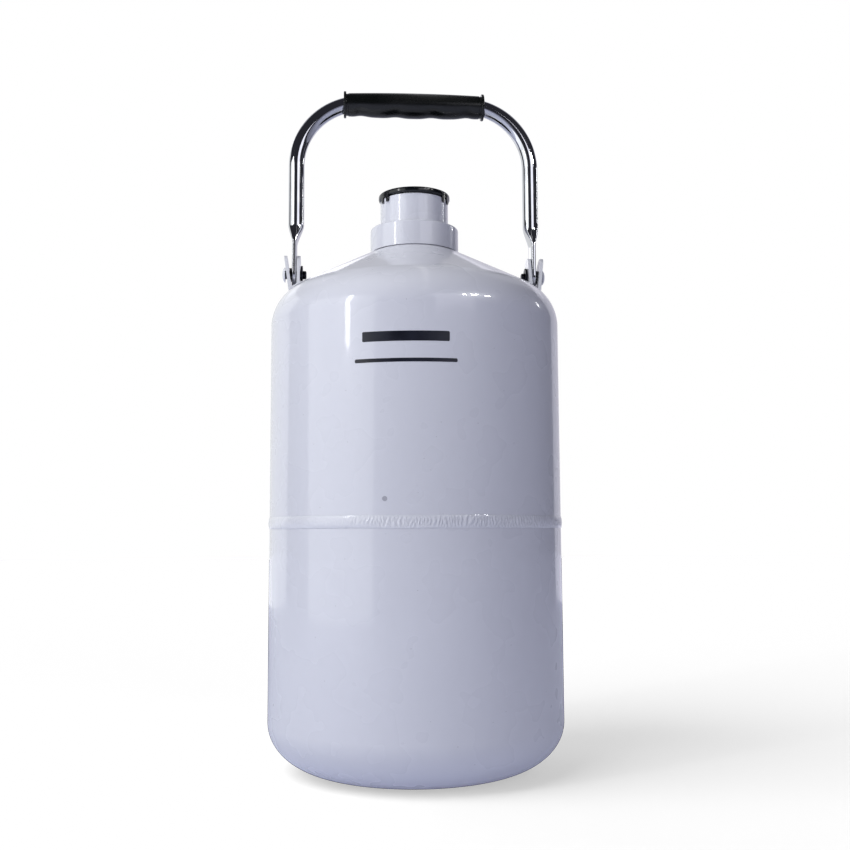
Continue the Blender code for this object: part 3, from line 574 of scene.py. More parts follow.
def lugBlank(index, angle, low, ringLow):
    middle = (ring["lugInner"] + ring["lugOuter"]) / 2
    half = radians(ring["lugAngle"]) * middle / 2
    slot = ring["slot"] / 2
    top = ringLow + ring["height"] / 2
    outline = [(-half, low), (-slot, low), (-slot, ringLow), (slot, ringLow), (slot, low),
               (half, low), (half, top), (-half, top)]
    bm = bmesh.new()
    face = bm.faces.new([bm.verts.new((ring["lugInner"] * mm, y * mm, z * mm)) for y, z in outline])
    corners = list(face.verts)
    bmesh.ops.bevel(bm, geom=corners[2:4], offset=slot * 0.999 * mm, affect="VERTICES",
                    segments=8, profile=0.5, material=-1)
    outside = [v for v in bm.verts
               if abs(abs(v.co.y) - half * mm) < 1e-6 and v.co.z < (low + 0.1) * mm]
    bmesh.ops.bevel(bm, geom=outside, offset=ring["lugCorner"] * mm, affect="VERTICES",
                    segments=5, profile=0.5, material=-1)
    thicken(bm, ((ring["lugOuter"] - ring["lugInner"]) * mm, 0, 0))
    for cut in range(-4, 5):
        bmesh.ops.bisect_plane(bm, geom=everything(bm), dist=1e-7,
                               plane_co=(0, cut * half * mm / 4.5, 0), plane_no=(0, 1, 0))
    faceOut(bm)
    for vert in bm.verts:
        turnBy = radians(angle) + vert.co.y / (middle * mm)
        vert.co.x, vert.co.y = vert.co.x * cos(turnBy), vert.co.x * sin(turnBy)
    return asObject(f"lugBlank{index}", bm)


def makeRing():
    low, high = boxOf("index_ring")
    ringLow = high.z - ring["height"]
    outer = boxOf("neck_sleeve")[1].x + 1.3
    floor = ringLow + ring["floor"]
    bm = turned([(neck["bore"], ringLow), (outer, ringLow), (outer, high.z), (ring["seat"], high.z),
                 (ring["seat"], floor), (neck["bore"], floor)], ring["steps"])
    soften(bm, ring["edge"], 6, where=lambda p: radiusOf(p) > outer - 1)
    soften(bm, 0.3, 2, 60, where=lambda p: radiusOf(p) < outer - 3)
    obj = asObject("indexRing", bm, ringPlastic)
    for index, angle in enumerate(ring["lugAngles"]):
        combine(obj, lugBlank(index, angle, low.z, ringLow), "UNION")
    obj.data.set_sharp_from_angle(angle=radians(40))
    finish(obj, "dewar", "black_plastic", "index_ring")


makeRing()
print("neck made")

# Stopper: a moulded cap with a fluted knob, and a bead foam plug with vent grooves.
stopper = {"steps": 144, "flutes": 24, "fluteDepth": 0.45, "knobRadius": 11.0, "knobEdge": 2.6,
           "flange": 2.4, "dish": 0.7, "dishRadius": 7.0, "grooves": 6, "grooveDepth": 0.9,
           "plugEdge": 2.0}


def makeStopper():
    low, high = boxOf("stopper_cap")
    flangeTop = low.z + stopper["flange"]
    knob = stopper["knobRadius"]
    dish = stopper["dishRadius"]
    hollow = high.z - stopper["dish"]
    bm = turned([(0, low.z), (high.x, low.z), (high.x, flangeTop), (knob, flangeTop),
                 (knob, high.z), (dish + 0.6, high.z), (dish, hollow), (0, hollow)],
                stopper["steps"])
    soften(bm, stopper["knobEdge"], 6, 60,
           lambda p: abs(radiusOf(p) - knob) < 0.1 and p.z > high.z - 0.1)
    soften(bm, 0.7, 4, 60, lambda p: radiusOf(p) > high.x - 0.1)
    soften(bm, 0.5, 3, 30, lambda p: radiusOf(p) < knob + 0.2 and p.z > low.z + 1)
    for vert in bm.verts:
        radius = radiusOf(vert.co) / mm
        if dish + 1.5 < radius < knob + 0.05 and vert.co.z / mm > flangeTop + 0.6:
            angle = atan2(vert.co.y, vert.co.x)
            cut = stopper["fluteDepth"] * (0.5 - 0.5 * cos(stopper["flutes"] * angle)) ** 2
            drawIn(vert, cut)
    finish(asObject("stopperCap", bm, ringPlastic), "stopper", "black_plastic", "stopper_cap")

    low, high = boxOf("stopper_plug")
    bm = turned(oblong(0, high.x, low.z, high.z), stopper["steps"], longest=6)
    soften(bm, stopper["plugEdge"], 5, 60, lambda p: p.z < low.z + 0.1)
    soften(bm, 0.5, 2, 60, lambda p: p.z > high.z - 0.1)
    for vert in bm.verts:
        radius = radiusOf(vert.co) / mm
        if radius > high.x - 2.5 and vert.co.z / mm < high.z - 3:
            angle = atan2(vert.co.y, vert.co.x)
            cut = stopper["grooveDepth"] * max(0.0, cos(stopper["grooves"] * angle)) ** 6
            cut += 0.1 * abs(noise.noise(vert.co / (2.4 * mm)))
            drawIn(vert, cut)
    finish(asObject("stopperPlug", bm, foam), "stopper", "foam", "stopper_plug")


makeStopper()
print("stopper made")

# Inner vessel, its weld, the wound insulation and the adsorbent pack, all behind the outer shell.
vessel = {"steps": 160, "wall": 1.2, "dome": 26.0, "neckRadius": 20.2, "domeSteps": 22,
          "wrap": 20.0, "clearance": 1.1, "neckWrap": 14.0, "crinkle": 0.5, "wallRise": 50.0,
          "row": 10.0, "stub": 12.0, "beadRows": 8, "beadSteps": 1080, "beadRipples": 180,
          "beadDepth": 0.16}


def makeVessel():
    low, high = boxOf("inner_vessel_upper")
    radius = high.x
    spring = low.z + vessel["wallRise"]
    dome = vessel["dome"]
    reach = acos(vessel["neckRadius"] / radius)
    bm = bmesh.new()
    top = drawLine(bm, [(radius, low.z), (radius, spring)])[-1]
    top = sweepArc(bm, top, (0, spring), reach * 180 / pi, vessel["domeSteps"], radius / dome)
    drawLine(bm, [(vessel["neckRadius"], high.z)], after=top)
    cutUp(bm, vessel["row"])
    turn(bm, vessel["steps"])
    upper = asObject("innerVesselUpper", bm, spunAluminium, 60)
    wall(upper, vessel["wall"])
    finish(upper, "dewar", "aluminium", "inner_vessel_upper")

    low, high = boxOf("inner_vessel_lower")
    spring = low.z + dome
    bm = bmesh.new()
    top = drawLine(bm, [(radius, high.z), (radius, spring)])[-1]
    sweepArc(bm, top, (0, spring), -90, vessel["domeSteps"], radius / dome)
    cutUp(bm, vessel["row"])
    turn(bm, vessel["steps"])
    lower = asObject("innerVesselLower", bm, spunAluminium, 60)
    wall(lower, vessel["wall"])
    finish(lower, "dewar", "aluminium", "inner_vessel_lower")

    low, high = boxOf("inner_vessel_weld")
    middle = (low.z + high.z) / 2
    half = middle - low.z
    bm, step = beadMesh(radius, vessel["wall"], middle, half, high.x,
                        vessel["beadRows"], vessel["beadSteps"])
    for vert in bm.verts:
        around = radiusOf(vert.co) / mm
        if around > step + 0.01:
            angle = atan2(vert.co.y, vert.co.x)
            across = (vert.co.z / mm - middle) / 3
            ripple = 0.5 - 0.5 * cos(angle * vessel["beadRipples"] + 3 * across * across)
            drawIn(vert, vessel["beadDepth"] * ripple * (1 - across * across))
    bead = asObject("innerVesselWeld", bm, turnedAluminium, 70)
    finish(bead, "dewar", "aluminium", "inner_vessel_weld")


def makeInsulation():
    low, high = boxOf("insulation_wrap")
    vesselLow = boxOf("inner_vessel_lower")[0].z
    vesselHigh = boxOf("inner_vessel_upper")[1].z - vessel["stub"]
    vesselRadius = boxOf("inner_vessel_lower")[1].x
    packLow, packHigh = boxOf("adsorbent_pack")
    dome = vessel["dome"]
    springs = (vesselLow + dome, vesselHigh - dome)
    neckInner = vessel["neckRadius"] + 0.3
    neckOuter = neckInner + vessel["neckWrap"]
    pocket = packHigh.x + 0.3
    bm = bmesh.new()
    outerRadius = vesselRadius + vessel["wrap"]
    outerDome = dome + vessel["wrap"]
    innerRadius = vesselRadius + vessel["clearance"]
    innerDome = dome + vessel["clearance"]
    line = drawLine(bm, [(0, packLow.z - 0.3), (0, springs[0] - outerDome)])
    last = sweepArc(bm, line[-1], (0, springs[0]), 90, 16, outerRadius / outerDome)
    last = drawLine(bm, [(outerRadius, springs[1])], after=last)[-1]
    reach = acos(neckOuter / outerRadius) * 180 / pi
    last = sweepArc(bm, last, (0, springs[1]), reach, 16, outerRadius / outerDome)
    last = drawLine(bm, [(neckOuter, high.z - vessel["neckWrap"] * coneRise), (neckInner, high.z)],
                    after=last)[-1]
    rise = innerDome * sin(acos(neckInner / innerRadius))
    last = drawLine(bm, [(neckInner, springs[1] + rise)], after=last)[-1]
    reach = acos(neckInner / innerRadius) * 180 / pi
    last = sweepArc(bm, last, (0, springs[1]), -reach, 12, innerRadius / innerDome)
    last = drawLine(bm, [(innerRadius, springs[0])], after=last)[-1]
    reach = acos(pocket / innerRadius) * 180 / pi
    last = sweepArc(bm, last, (0, springs[0]), -reach, 12, innerRadius / innerDome)
    last = drawLine(bm, [(pocket, packLow.z - 0.3)], after=last)[-1]
    bm.edges.new((last, line[0]))
    cutUp(bm, 5)
    turn(bm, vessel["steps"])
    for vert in bm.verts:
        radius = radiusOf(vert.co) / mm
        aboveDome = vert.co.z / mm > springs[1] + innerDome + 3
        if radius > innerRadius + 2 or (radius > neckInner + 2 and aboveDome):
            coarse = abs(noise.noise(vert.co / (9 * mm)))
            crease = coarse + 0.5 * abs(noise.noise(vert.co / (4 * mm)))
            vert.co -= vert.normal * crease * vessel["crinkle"] * mm
    wrap = asObject("insulationWrap", bm, foil, 60)
    finish(wrap, "dewar", "foil", "insulation_wrap")

    bm = turned(oblong(0, packHigh.x, packLow.z, packHigh.z), 96, longest=4)
    soften(bm, 2.0, 5, 60)
    for vert in bm.verts:
        if vert.co.z / mm > packHigh.z - 0.3 and radiusOf(vert.co) / mm < packHigh.x - 3:
            vert.co.z -= 0.5 * abs(noise.noise(vert.co / (5 * mm))) * mm
    finish(asObject("adsorbentPack", bm, wireCloth), "dewar", "adsorbent", "adsorbent_pack")


makeVessel()
makeInsulation()
print("vessel and insulation made")

# Evacuation port on the back of the cone: tube, rubber plug and ribbed pull-off cap.
port = {"offset": 58.0, "radius": 6.0, "bore": 3.5, "rise": 9.0, "depth": 6.0, "plug": 3.2,
        "plugLength": 9.0, "capWall": 1.6, "ribs": 30, "ribDepth": 0.3, "gap": 0.3}


def makePort():
    place = Matrix.Translation((0, port["offset"] * mm, coneHeight(port["offset"]) * mm))
    place @= Matrix.Rotation(radians(-coneSlope), 4, "X")
    rise = port["rise"]
    bm = turned(oblong(port["bore"], port["radius"], -port["depth"], rise), 64, 0.3, 3)
    bm.transform(place)
    finish(asObject("vacuumPort", bm, turnedAluminium), "dewar", "aluminium", "vacuum_port")

    bm = turned(oblong(0, port["radius"] + port["gap"], -port["depth"] - 1, rise), 64)
    bm.transform(place)
    combine(shellUpper, asObject("portHole", bm), "DIFFERENCE")

    bm = turned(oblong(0, port["plug"], rise - port["plugLength"], rise), 48, 0.3, 3)
    bm.transform(place)
    finish(asObject("vacuumPlug", bm, plugRubber), "dewar", "rubber", "vacuum_plug")

    inner = port["radius"] + port["gap"]
    outer = inner + port["capWall"]
    ceiling = rise + port["gap"]
    top = ceiling + port["capWall"]
    bottom = outer * outer * 0.5 / port["offset"] * cos(radians(coneSlope)) + port["gap"]
    bm = turned([(inner, bottom), (outer, bottom), (outer, top), (0, top), (0, ceiling),
                 (inner, ceiling)], 180, longest=2)
    soften(bm, 1.0, 5, 60, lambda p: radiusOf(p) > outer - 0.1 and p.z > top - 0.1)
    for vert in bm.verts:
        radius = radiusOf(vert.co) / mm
        if radius > outer - 0.1 and bottom + 1 < vert.co.z / mm < top - 1.2:
            angle = atan2(vert.co.y, vert.co.x)
            drawIn(vert, port["ribDepth"] * (0.5 - 0.5 * cos(port["ribs"] * angle)))
    bm.transform(place)
    finish(asObject("vacuumPortCap", bm, ringPlastic), "dewar", "black_plastic", "vacuum_port_cap")


makePort()
finish(shellUpper, "dewar", "white_paint", "outer_shell_upper")
print("port made")

# Handle: one length of tube, drawn up each leg and round each bend, with its ends pressed flat.
handle = {
    "sides": 48, "radius": 5.65, "leg": 85.6, "tab": 86.6, "bendRadius": 48.0, "height": 129.1,
    "tabHalf": 1.75, "tabWidth": 8.0, "tabTop": 22.0, "tubeStart": 37.0, "bendSteps": 28,
    "pinHole": 3.3, "squareness": 4.0,
}


def alongPivot(side):
    # Lays something turned about the upright axis along the pivots, its top outwards.
    lift = Matrix.Translation((0, 0, pivotHeight * mm))
    return lift @ Matrix.Rotation(side * pi / 2, 4, "Y")


def pressFlat(vert, extra):
    # Heights are above the pivot. A pressed section is a squarish ellipse that turns round again.
    height = vert.co.z / mm - pivotHeight
    if height > handle["tubeStart"] or vert.co.x < (handle["leg"] - 12) * mm:
        return
    ease = smoothStep((height - handle["tabTop"]) / (handle["tubeStart"] - handle["tabTop"]))
    angle = atan2(vert.co.y, vert.co.x - handle["leg"] * mm)
    power = handle["squareness"] + (2 - handle["squareness"]) * ease
    thick = handle["tabHalf"] + (handle["radius"] - handle["tabHalf"]) * ease + extra
    wide = handle["tabWidth"] + (handle["radius"] - handle["tabWidth"]) * ease + extra
    if height < 0:
        wide *= sqrt(max(0.0, 1 - (height / handle["tabWidth"]) ** 2))
    across = abs(cos(angle)) ** (2 / power) * (1 if cos(angle) > 0 else -1)
    along = abs(sin(angle)) ** (2 / power) * (1 if sin(angle) > 0 else -1)
    centre = handle["tab"] + (handle["leg"] - handle["tab"]) * ease
    vert.co.x = (centre + thick * across) * mm
    vert.co.y = wide * along * mm


def tubeMesh(extra=0.0):
    bm = bmesh.new()
    bmesh.ops.create_circle(bm, cap_ends=False, radius=(handle["radius"] + extra) * mm,
                            segments=handle["sides"])
    low = -handle["tabWidth"] * 0.998
    bmesh.ops.translate(bm, verts=bm.verts, vec=(handle["leg"] * mm, 0, (pivotHeight + low) * mm))
    loop = bm.edges[:]
    levels = [-handle["tabWidth"] * cos(radians(a)) for a in range(10, 100, 8)]
    levels += [5, 10, 16, handle["tabTop"]]
    easing = handle["tubeStart"] - handle["tabTop"]
    levels += [handle["tabTop"] + i * easing / 16 for i in range(1, 17)]
    bendStart = handle["height"] - handle["bendRadius"]
    levels += [45, 55, 65, 74, bendStart]
    at = low
    for level in levels:
        drawn = bmesh.ops.extrude_edge_only(bm, edges=loop)["geom"]
        loop = edgesIn(drawn)
        bmesh.ops.translate(bm, verts=vertsIn(drawn), vec=(0, 0, (level - at) * mm))
        at = level
    centre = ((handle["leg"] - handle["bendRadius"]) * mm, 0, (pivotHeight + bendStart) * mm)
    swept = bmesh.ops.spin(bm, geom=loop + list({v for e in loop for v in e.verts}), cent=centre,
                           axis=(0, -1, 0), dvec=(0, 0, 0), angle=pi / 2, steps=handle["bendSteps"])
    drawn = bmesh.ops.extrude_edge_only(bm, edges=edgesIn(swept["geom_last"]))["geom"]
    for vert in vertsIn(drawn):
        vert.co.x = 0
    for vert in bm.verts:
        pressFlat(vert, extra)
    bmesh.ops.mirror(bm, geom=everything(bm), axis="X", merge_dist=0.001 * mm)
    bmesh.ops.remove_doubles(bm, verts=bm.verts, dist=0.0005 * mm)
    bmesh.ops.holes_fill(bm, edges=[e for e in bm.edges if e.is_boundary], sides=0)
    faceOut(bm)
    return bm


def makeHandle():
    tube = asObject("handleTube", tubeMesh(), chromePlate, 50)
    reach = shellRadius
    bm = turned(oblong(0, handle["pinHole"], -reach, reach), 48)
    bm.transform(alongPivot(1))
    combine(tube, asObject("pinHole", bm), "DIFFERENCE")
    tube.data.set_sharp_from_angle(angle=radians(40))
    finish(tube, "handle", "chrome", "handle_tube")


makeHandle()
print("handle made")

# Grip: moulded over the tube, slightly barrelled, with flanged ends and four shallow finger waves.
grip = {"half": 51.5, "end": 8.25, "middle": 9.1, "flange": 9.6, "flangeWidth": 1.8, "groove": 1.6,
        "grooveDepth": 0.35, "drop": 1.1, "steps": 96, "wavePitch": 26.0, "waveDepth": 0.85,
        "rows": 72}


def makeGrip():
    axisHeight = pivotHeight + handle["height"] - grip["drop"]
    half = grip["half"]
    inner = half - grip["flangeWidth"]
    start = inner - grip["groove"]
    groove = grip["end"] - grip["grooveDepth"]
    side = [(grip["flange"], half), (grip["flange"], inner), (groove, inner), (groove, start),
            (grip["end"], start)]
    rows = grip["rows"]
    barrel = [(grip["middle"] - (grip["middle"] - grip["end"]) * (1 - 2 * i / rows) ** 2,
               start * (1 - 2 * i / rows)) for i in range(1, rows)]
    other = [(radius, -height) for radius, height in reversed(side)]
    bm = turned([(0, half), *side, *barrel, *other, (0, -half)], grip["steps"])
    soften(bm, 0.45, 3, 60, lambda p: radiusOf(p) > grip["flange"] - 0.1)
    soften(bm, 0.15, 2, 60, lambda p: radiusOf(p) < grip["flange"] - 0.6 and abs(p.z) < inner + 0.1)
    # still upright here: -X becomes the grip's underside when it is laid along the handle
    for vert in bm.verts:
        along = vert.co.z / mm
        radius = radiusOf(vert.co) / mm
        if abs(along) > start - 0.5 or radius < 1:
            continue
        under = max(0.0, -vert.co.x / mm / radius)
        wave = 0.5 + 0.5 * cos(2 * pi * (along - grip["wavePitch"] / 2) / grip["wavePitch"])
        fade = 1 - smoothStep((abs(along) - (start - 9)) / 8)
        drawIn(vert, grip["waveDepth"] * wave**2 * smoothStep((under - 0.25) / 0.6) * fade)
    turnDown = Matrix.Rotation(pi / 2, 4, "Y")
    if (turnDown @ Vector((-1, 0, 0))).z > 0:
        turnDown = Matrix.Rotation(-pi / 2, 4, "Y")
    bm.transform(Matrix.Translation((0, 0, axisHeight * mm)) @ turnDown)
    obj = asObject("handleGrip", bm, gripVinyl)
    combine(obj, asObject("gripBore", tubeMesh(0.3)), "DIFFERENCE")
    obj.data.set_sharp_from_angle(angle=radians(45))
    finish(obj, "handle", "black_vinyl", "handle_grip")


makeGrip()
print("grip made")

# Brackets: folded sheet with an upright inner ear and an outer ear that leans out.
bracket = {"sheet": 2.2, "foot": 1.8, "innerFace": 84.5, "outerFace": 89.82, "lean": 8.0,
           "earTop": 14.0, "topRadius": 8.0, "footHalf": 14.0, "footReach": 8.0, "edge": 0.45,
           "gap": 0.3, "pinHole": 3.3, "foldRadius": 1.6}


def footHeight(x):
    return coneHeight(x, bracket["gap"] + bracket["foot"])


def foldedSheet(side, word):
    top = pivotHeight + bracket["earTop"]
    low = shell["wallTop"]
    lean = tan(radians(bracket["lean"]))
    across = bracket["sheet"] / cos(radians(bracket["lean"]))
    inner = bracket["innerFace"]
    footInner = inner - bracket["sheet"] - bracket["footReach"]

    def earFace(z):
        return bracket["outerFace"] + (z - pivotHeight) * lean

    corner = earFace(footHeight(bracket["outerFace"]))
    points = [(footInner, low), (footInner, footHeight(footInner)),
              (inner - bracket["sheet"], footHeight(inner - bracket["sheet"])),
              (inner - bracket["sheet"], top), (inner, top), (inner, footHeight(inner)),
              (corner, footHeight(corner)), (earFace(top), top), (earFace(top) + across, top),
              (earFace(low) + across, low)]
    bm = bmesh.new()
    half = bracket["footHalf"] + 1
    face = bm.faces.new([bm.verts.new((side * x * mm, -half * mm, z * mm)) for x, z in points])
    folds = list(face.verts)
    bmesh.ops.bevel(bm, geom=[folds[2]], offset=bracket["foldRadius"] * mm, affect="VERTICES",
                    segments=5, profile=0.5, material=-1)
    bmesh.ops.bevel(bm, geom=[folds[5], folds[6]], offset=0.9 * mm, affect="VERTICES",
                    segments=4, profile=0.5, material=-1)
    thicken(bm, (0, 2 * half * mm, 0))
    faceOut(bm)
    return asObject(f"bracket{word}", bm, bracketEnamel)


def earBlank(side):
    # Seen from the side: a round top on straight edges that spread to the foot.
    radius = bracket["topRadius"]
    centre = pivotHeight + bracket["earTop"] - radius
    foot = footHeight(bracket["outerFace"])
    half = bracket["footHalf"]
    tangent = atan2(half - radius, centre - foot)
    bm = bmesh.new()
    start = bm.verts.new((0, half * mm, shell["wallTop"] * mm))
    corner = bm.verts.new((0, half * mm, foot * mm))
    spring = bm.verts.new((0, radius * cos(tangent) * mm, (centre + radius * sin(tangent)) * mm))
    bm.edges.new((start, corner))
    bm.edges.new((corner, spring))
    bmesh.ops.spin(bm, geom=[spring], cent=(0, 0, centre * mm), axis=(1, 0, 0), dvec=(0, 0, 0),
                   angle=pi / 2 - tangent, steps=12)
    bmesh.ops.mirror(bm, geom=bm.verts[:] + bm.edges[:], axis="Y", merge_dist=0.01 * mm)
    bmesh.ops.remove_doubles(bm, verts=bm.verts, dist=0.005 * mm)
    ends = [v for v in bm.verts if len(v.link_edges) == 1]
    bm.edges.new(ends)
    bmesh.ops.edgeloop_fill(bm, edges=bm.edges[:])
    bmesh.ops.translate(bm, verts=bm.verts, vec=(side * 60 * mm, 0, 0))
    thicken(bm, (side * 50 * mm, 0, 0))
    faceOut(bm)
    return asObject("earBlank", bm)


def shellCutter():
    inner = shellRadius - shell["shoulderRadius"]
    gap = bracket["gap"]
    bm = bmesh.new()
    line = drawLine(bm, [(0, 280), (shellRadius + gap, 280), (shellRadius + gap, shell["wallTop"])])
    last = sweepArc(bm, line[-1], (inner, shell["wallTop"]), 90 - coneSlope, shell["shoulderSteps"])
    height = coneHeight(neckHole, gap)
    last = drawLine(bm, [(neckHole, height), (0, height)], after=last)[-1]
    bm.edges.new((last, line[0]))
    turn(bm, 256)
    return asObject("shellCutter", bm)


def makeBrackets():
    for side, word in ((1, "Right"), (-1, "Left")):
        obj = foldedSheet(side, word)
        combine(obj, earBlank(side), "INTERSECT")
        combine(obj, shellCutter(), "DIFFERENCE")
        bm = turned(oblong(0, bracket["pinHole"], 60, 110), 48)
        bm.transform(alongPivot(side))
        combine(obj, asObject("pinHole", bm), "DIFFERENCE")
        bm = bmesh.new()
        bm.from_mesh(obj.data)
        bmesh.ops.remove_doubles(bm, verts=bm.verts, dist=0.01 * mm)
        bmesh.ops.dissolve_limit(bm, angle_limit=radians(0.5), verts=bm.verts, edges=bm.edges)
        soften(bm, bracket["edge"], 3, 50)
        faceOut(bm)
        bm.to_mesh(obj.data)
        bm.free()
        obj.data.shade_smooth()
        obj.data.set_sharp_from_angle(angle=radians(35))
        finish(obj, "dewar", "white_paint", f"bracket_{word.lower()}")


makeBrackets()
print("brackets made")

# Pivots: riveted pins with a domed head outside, a washer inside and a bush beside the handle.
pivot = {"pin": 3.0, "tipEdge": 0.9, "headRadius": 5.5, "headRise": 2.2, "washerHole": 3.3,
         "washerEdge": 0.35, "bush": 5.0}


def layDown(bm, side):
    bm.transform(alongPivot(side))
    faceOut(bm)


def makePivots():
    for side, word in ((1, "right"), (-1, "left")):
        low, high = boxOf(f"pivot_pin_{word}")
        tip, top = sorted((abs(low.x), abs(high.x)))
        seat = top - pivot["headRise"]
        bm = turned(oblong(0, pivot["pin"], tip, seat + 0.5), 64)
        soften(bm, pivot["tipEdge"], 5, 60, lambda p: p.z < tip + 0.1)
        layDown(bm, side)
        finish(asObject(f"pivotPin{word.title()}", bm, darkZinc), "dewar", "dark_steel",
               f"pivot_pin_{word}")

        bm = bmesh.new()
        line = drawLine(bm, [(0, seat), (pivot["headRadius"], seat)])
        sweepArc(bm, line[-1], (0, seat), 90, 10, pivot["headRadius"] / pivot["headRise"])
        turn(bm, 64)
        soften(bm, 0.25, 2, 60, lambda p: radiusOf(p) > pivot["headRadius"] - 0.1)
        layDown(bm, side)
        finish(asObject(f"pivotHead{word.title()}", bm, bracketEnamel), "dewar", "white_paint")

        low, high = boxOf(f"pivot_washer_{word}")
        inner, outer = sorted((abs(low.x), abs(high.x)))
        rim = (high.y - low.y) / 2
        bm = turned(oblong(pivot["washerHole"], rim, inner, outer), 64, pivot["washerEdge"], 3)
        layDown(bm, side)
        finish(asObject(f"pivotWasher{word.title()}", bm, darkZinc), "dewar", "dark_steel",
               f"pivot_washer_{word}")

        low, high = boxOf(f"pivot_bush_{word}")
        inner, outer = sorted((abs(low.x), abs(high.x)))
        bm = turned(oblong(pivot["washerHole"], pivot["bush"], inner, outer + 1), 64)
        layDown(bm, side)
        lean = radians(bracket["lean"])
        face = bracket["outerFace"] - bracket["gap"] / cos(lean)
        sliced = bmesh.ops.bisect_plane(bm, geom=everything(bm), dist=1e-7,
                                        plane_co=(side * face * mm, 0, pivotHeight * mm),
                                        plane_no=(side * cos(lean), 0, -sin(lean)), clear_outer=True)
        bmesh.ops.bridge_loops(bm, edges=edgesIn(sliced["geom_cut"]))
        faceOut(bm)
        soften(bm, 0.2, 2, 60)
        finish(asObject(f"pivotBush{word.title()}", bm, bushNylon), "dewar", "black_nylon",
               f"pivot_bush_{word}")


makePivots()
print("pivots made")

# Print: two plain stripes of ink on the front, a broad one over a fine one.
stripes = {
    "thickness": 0.05, "lift": 0.05, "steps": 48,
    # height, how tall, start and end of the arc in mm round the shell from the front, corner
    "broad": (285.2, 6.4, -40.0, 16.0, 0.8),
    "fine": (270.0, 2.4, -45.0, 21.0, 0.8),
    "speck": (183.4, 3.2, -26.9, -23.7, 1.55),
}


def makeStripe(name, height, tall, start, end, corner, ink):
    radius = shellRadius + stripes["lift"]
    bm = bmesh.new()
    bmesh.ops.create_grid(bm, x_segments=1, y_segments=1, size=0.5)
    for vert in bm.verts:
        across = (end - start) * vert.co.x + (start + end) / 2
        vert.co = Vector((across, 0, tall * vert.co.y + height)) * mm
    bmesh.ops.bevel(bm, geom=bm.verts[:], offset=corner * mm,
                    affect="VERTICES", segments=5, profile=0.5, material=-1)
    for i in range(1, stripes["steps"]):
        at = start + (end - start) * i / stripes["steps"]
        bmesh.ops.bisect_plane(bm, geom=everything(bm), dist=1e-7,
                               plane_co=(at * mm, 0, 0), plane_no=(1, 0, 0))
    for vert in bm.verts:
        angle = vert.co.x / (shellRadius * mm)
        vert.co.x, vert.co.y = radius * sin(angle) * mm, -radius * cos(angle) * mm
    faceOut(bm)
    middle = bm.faces[:][0]
    if middle.normal.dot(Vector((0, -1, 0))) < 0:
        bmesh.ops.reverse_faces(bm, faces=bm.faces[:])
    obj = asObject(name, bm, ink)
    wall(obj, stripes["thickness"])
    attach(obj, "dewar")


makeStripe("printStripeBroad", *stripes["broad"], screenInk)
makeStripe("printStripeFine", *stripes["fine"], screenInk)
makeStripe("paintSpeck", *stripes["speck"], speckPaint)
print("print made")

# Studio: pale floor, white surround for the camera, soft panels and a few small lamps.
studio = {"aim": (0.0, 0.0, 0.25), "floorSize": 12.0, "ambient": "#797986", "ambientStrength": 0.58,
          "mirroredStrength": 0.14, "floorGlow": 0.2}
lamps = {
    # azimuth (minus is to the camera's left), elevation, distance, width, height, power, colour
    "keyPanel": (-62, 8, 1.3, 1.4, 0.95, 5.0, "#fafdfc"),
    "keyUpper": (-58, 50, 1.3, 1.25, 0.9, 9.9, "#fdfffd"),
    "fillPanel": (27, 22, 1.4, 0.72, 0.42, 1.35, "#f6f6ff"),
    "stripLamp": (-54, 20, 1.3, 0.085, 0.44, 1.2, "#ffffff"),
    "leftWall": (-145, 12, 1.6, 1.7, 1.3, 5.6, "#fdffff"),
    "backWall": (160, 13, 1.7, 1.8, 1.3, 5.0, "#f4f2ff"),
    "backUpper": (178, 50, 1.6, 2.3, 1.1, 3.0, "#f4f4ff"),
    "lowFront": (14, -4, 1.5, 1.5, 0.24, 2.0, "#f6f6ff"),
    "rimLamp": (113, 23, 1.5, 0.025, 0.14, 0.25, "#ffffff"),
    "smallLampA": (36, 29, 1.5, 0.10, 0.07, 0.9, "#ffffff"),
    "smallLampB": (45, 29.5, 1.5, 0.16, 0.08, 1.7, "#ffffff"),
    "smallLampC": (56, 28.5, 1.5, 0.12, 0.07, 1.1, "#ffffff"),
}
diffuseOnly = ("keyUpper", "lowFront")  # so large and soft that it leaves no edge in the gloss
# a pale wall that the cone mirrors, and lamps that only leave a glint
glossOnly = ("backUpper", "smallLampA", "smallLampB", "smallLampC")


def placeLamp(name, azimuth, elevation, distance, width, height, power, colour):
    data = bpy.data.lights.new(name, "AREA")
    data.shape = "RECTANGLE"
    data.size = width
    data.size_y = height
    data.energy = power
    data.color = hexColour(colour)[:3]
    lamp = bpy.data.objects.new(name, data)
    scene.collection.objects.link(lamp)
    a, e = radians(azimuth), radians(elevation)
    out = Vector((sin(a) * cos(e), -cos(a) * cos(e), sin(e)))
    lamp.location = Vector(studio["aim"]) + out * distance
    lamp.rotation_euler = out.to_track_quat("Z", "Y").to_euler()
    lamp.visible_glossy = name not in diffuseOnly
    lamp.visible_diffuse = name not in glossOnly


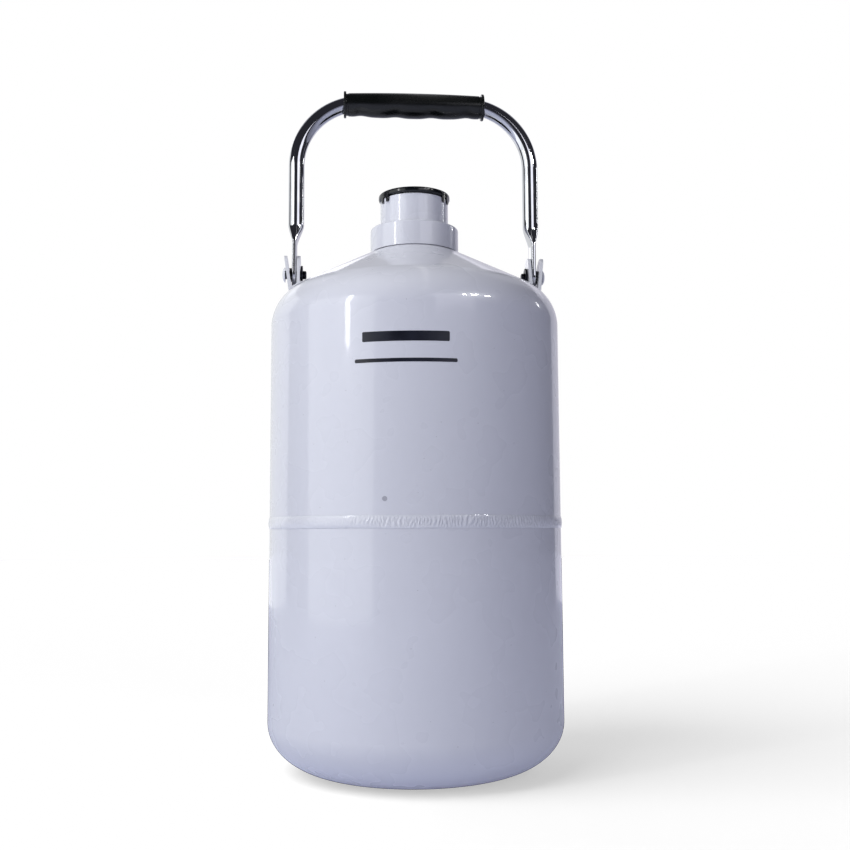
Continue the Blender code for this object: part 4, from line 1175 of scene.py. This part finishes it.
def makeStudio():
    bm = bmesh.new()
    bmesh.ops.create_grid(bm, x_segments=8, y_segments=8, size=studio["floorSize"] / 2)
    floor, tree, shader, place = newMaterial("matPaperFloor", {
        "Roughness": 0.9, "Specular IOR Level": 0.1, "Emission Color": hexColour("#dcdff4"),
        "Emission Strength": studio["floorGlow"]})
    tooth = addNode(tree, "ShaderNodeTexNoise", inputs={"Scale": perMm(4), "Detail": 2.0},
                    links={"Vector": place}).outputs["Fac"]
    paper = addNode(tree, "ShaderNodeValToRGB", links={"Fac": tooth},
                    stops=zip(rampMiddle, ("#b6bacb", "#bcc0d0")))
    tree.links.new(paper.outputs["Color"], shader.inputs["Base Color"])
    obj = asObject("floor", bm, floor)
    obj.is_shadow_catcher = True  # only its soft shadow shows on the white surround

    world = bpy.data.worlds.new("studioSurround")
    scene.world = world
    world.use_nodes = True
    tree = world.node_tree
    tree.nodes.clear()
    bright = addNode(tree, "ShaderNodeBackground", inputs={"Color": (1, 1, 1, 1), "Strength": 1.0})
    ambient = hexColour(studio["ambient"])
    dim = addNode(tree, "ShaderNodeBackground",
                  inputs={"Color": ambient, "Strength": studio["ambientStrength"]})
    dark = addNode(tree, "ShaderNodeBackground",
                   inputs={"Color": ambient, "Strength": studio["mirroredStrength"]})
    path = addNode(tree, "ShaderNodeLightPath").outputs
    room = addNode(tree, "ShaderNodeMixShader", links={
        0: path["Is Glossy Ray"], 1: dim.outputs["Background"], 2: dark.outputs["Background"]})
    mixed = addNode(tree, "ShaderNodeMixShader", links={
        0: path["Is Camera Ray"], 1: room.outputs["Shader"], 2: bright.outputs["Background"]})
    addNode(tree, "ShaderNodeOutputWorld", links={"Surface": mixed.outputs["Shader"]})
    for name, values in lamps.items():
        placeLamp(name, *values)
    # a long narrow strip of ceiling light, front to back, which shows as a soft patch on the grip
    slit = bpy.data.lights.new("ceilingSlit", "AREA")
    slit.shape = "RECTANGLE"
    slit.size, slit.size_y, slit.energy = 0.045, 2.4, 0.3
    lamp = bpy.data.objects.new("ceilingSlit", slit)
    scene.collection.objects.link(lamp)
    lamp.location = (0.10, -0.45, 1.4)
    lamp.rotation_euler = (0, 0, radians(2))


makeStudio()
scene.view_settings.view_transform = "Standard"
scene.view_settings.look = "None"

# Camera: an ordinary lens at the height of the girth weld, tilted up a little.
camera = {"lens": 45.68, "sensor": 36.0, "distance": 769.05, "height": 162.5, "turn": -3.5,
          "pan": 0.00933, "tilt": 0.0992, "roll": -0.00469}


def makeCamera():
    pan, tilt, roll = camera["pan"], camera["tilt"], camera["roll"]
    ahead = Vector((sin(pan) * cos(tilt), cos(pan) * cos(tilt), sin(tilt)))
    level = Vector((cos(pan), -sin(pan), 0))
    rise = level.cross(ahead)
    right = level * cos(roll) + rise * sin(roll)
    up = rise * cos(roll) - level * sin(roll)
    axes = Matrix((right, up, -ahead)).transposed().to_4x4()
    spot = Matrix.Translation(Vector((0, -camera["distance"], camera["height"])) * mm)
    data = bpy.data.cameras.new("camera")
    data.lens = camera["lens"]
    data.sensor_width = camera["sensor"]
    data.clip_start = 0.01
    obj = bpy.data.objects.new("camera", data)
    scene.collection.objects.link(obj)
    obj.matrix_world = Matrix.Rotation(radians(camera["turn"]), 4, "Z") @ spot @ axes
    scene.camera = obj


makeCamera()

print("scene ready")
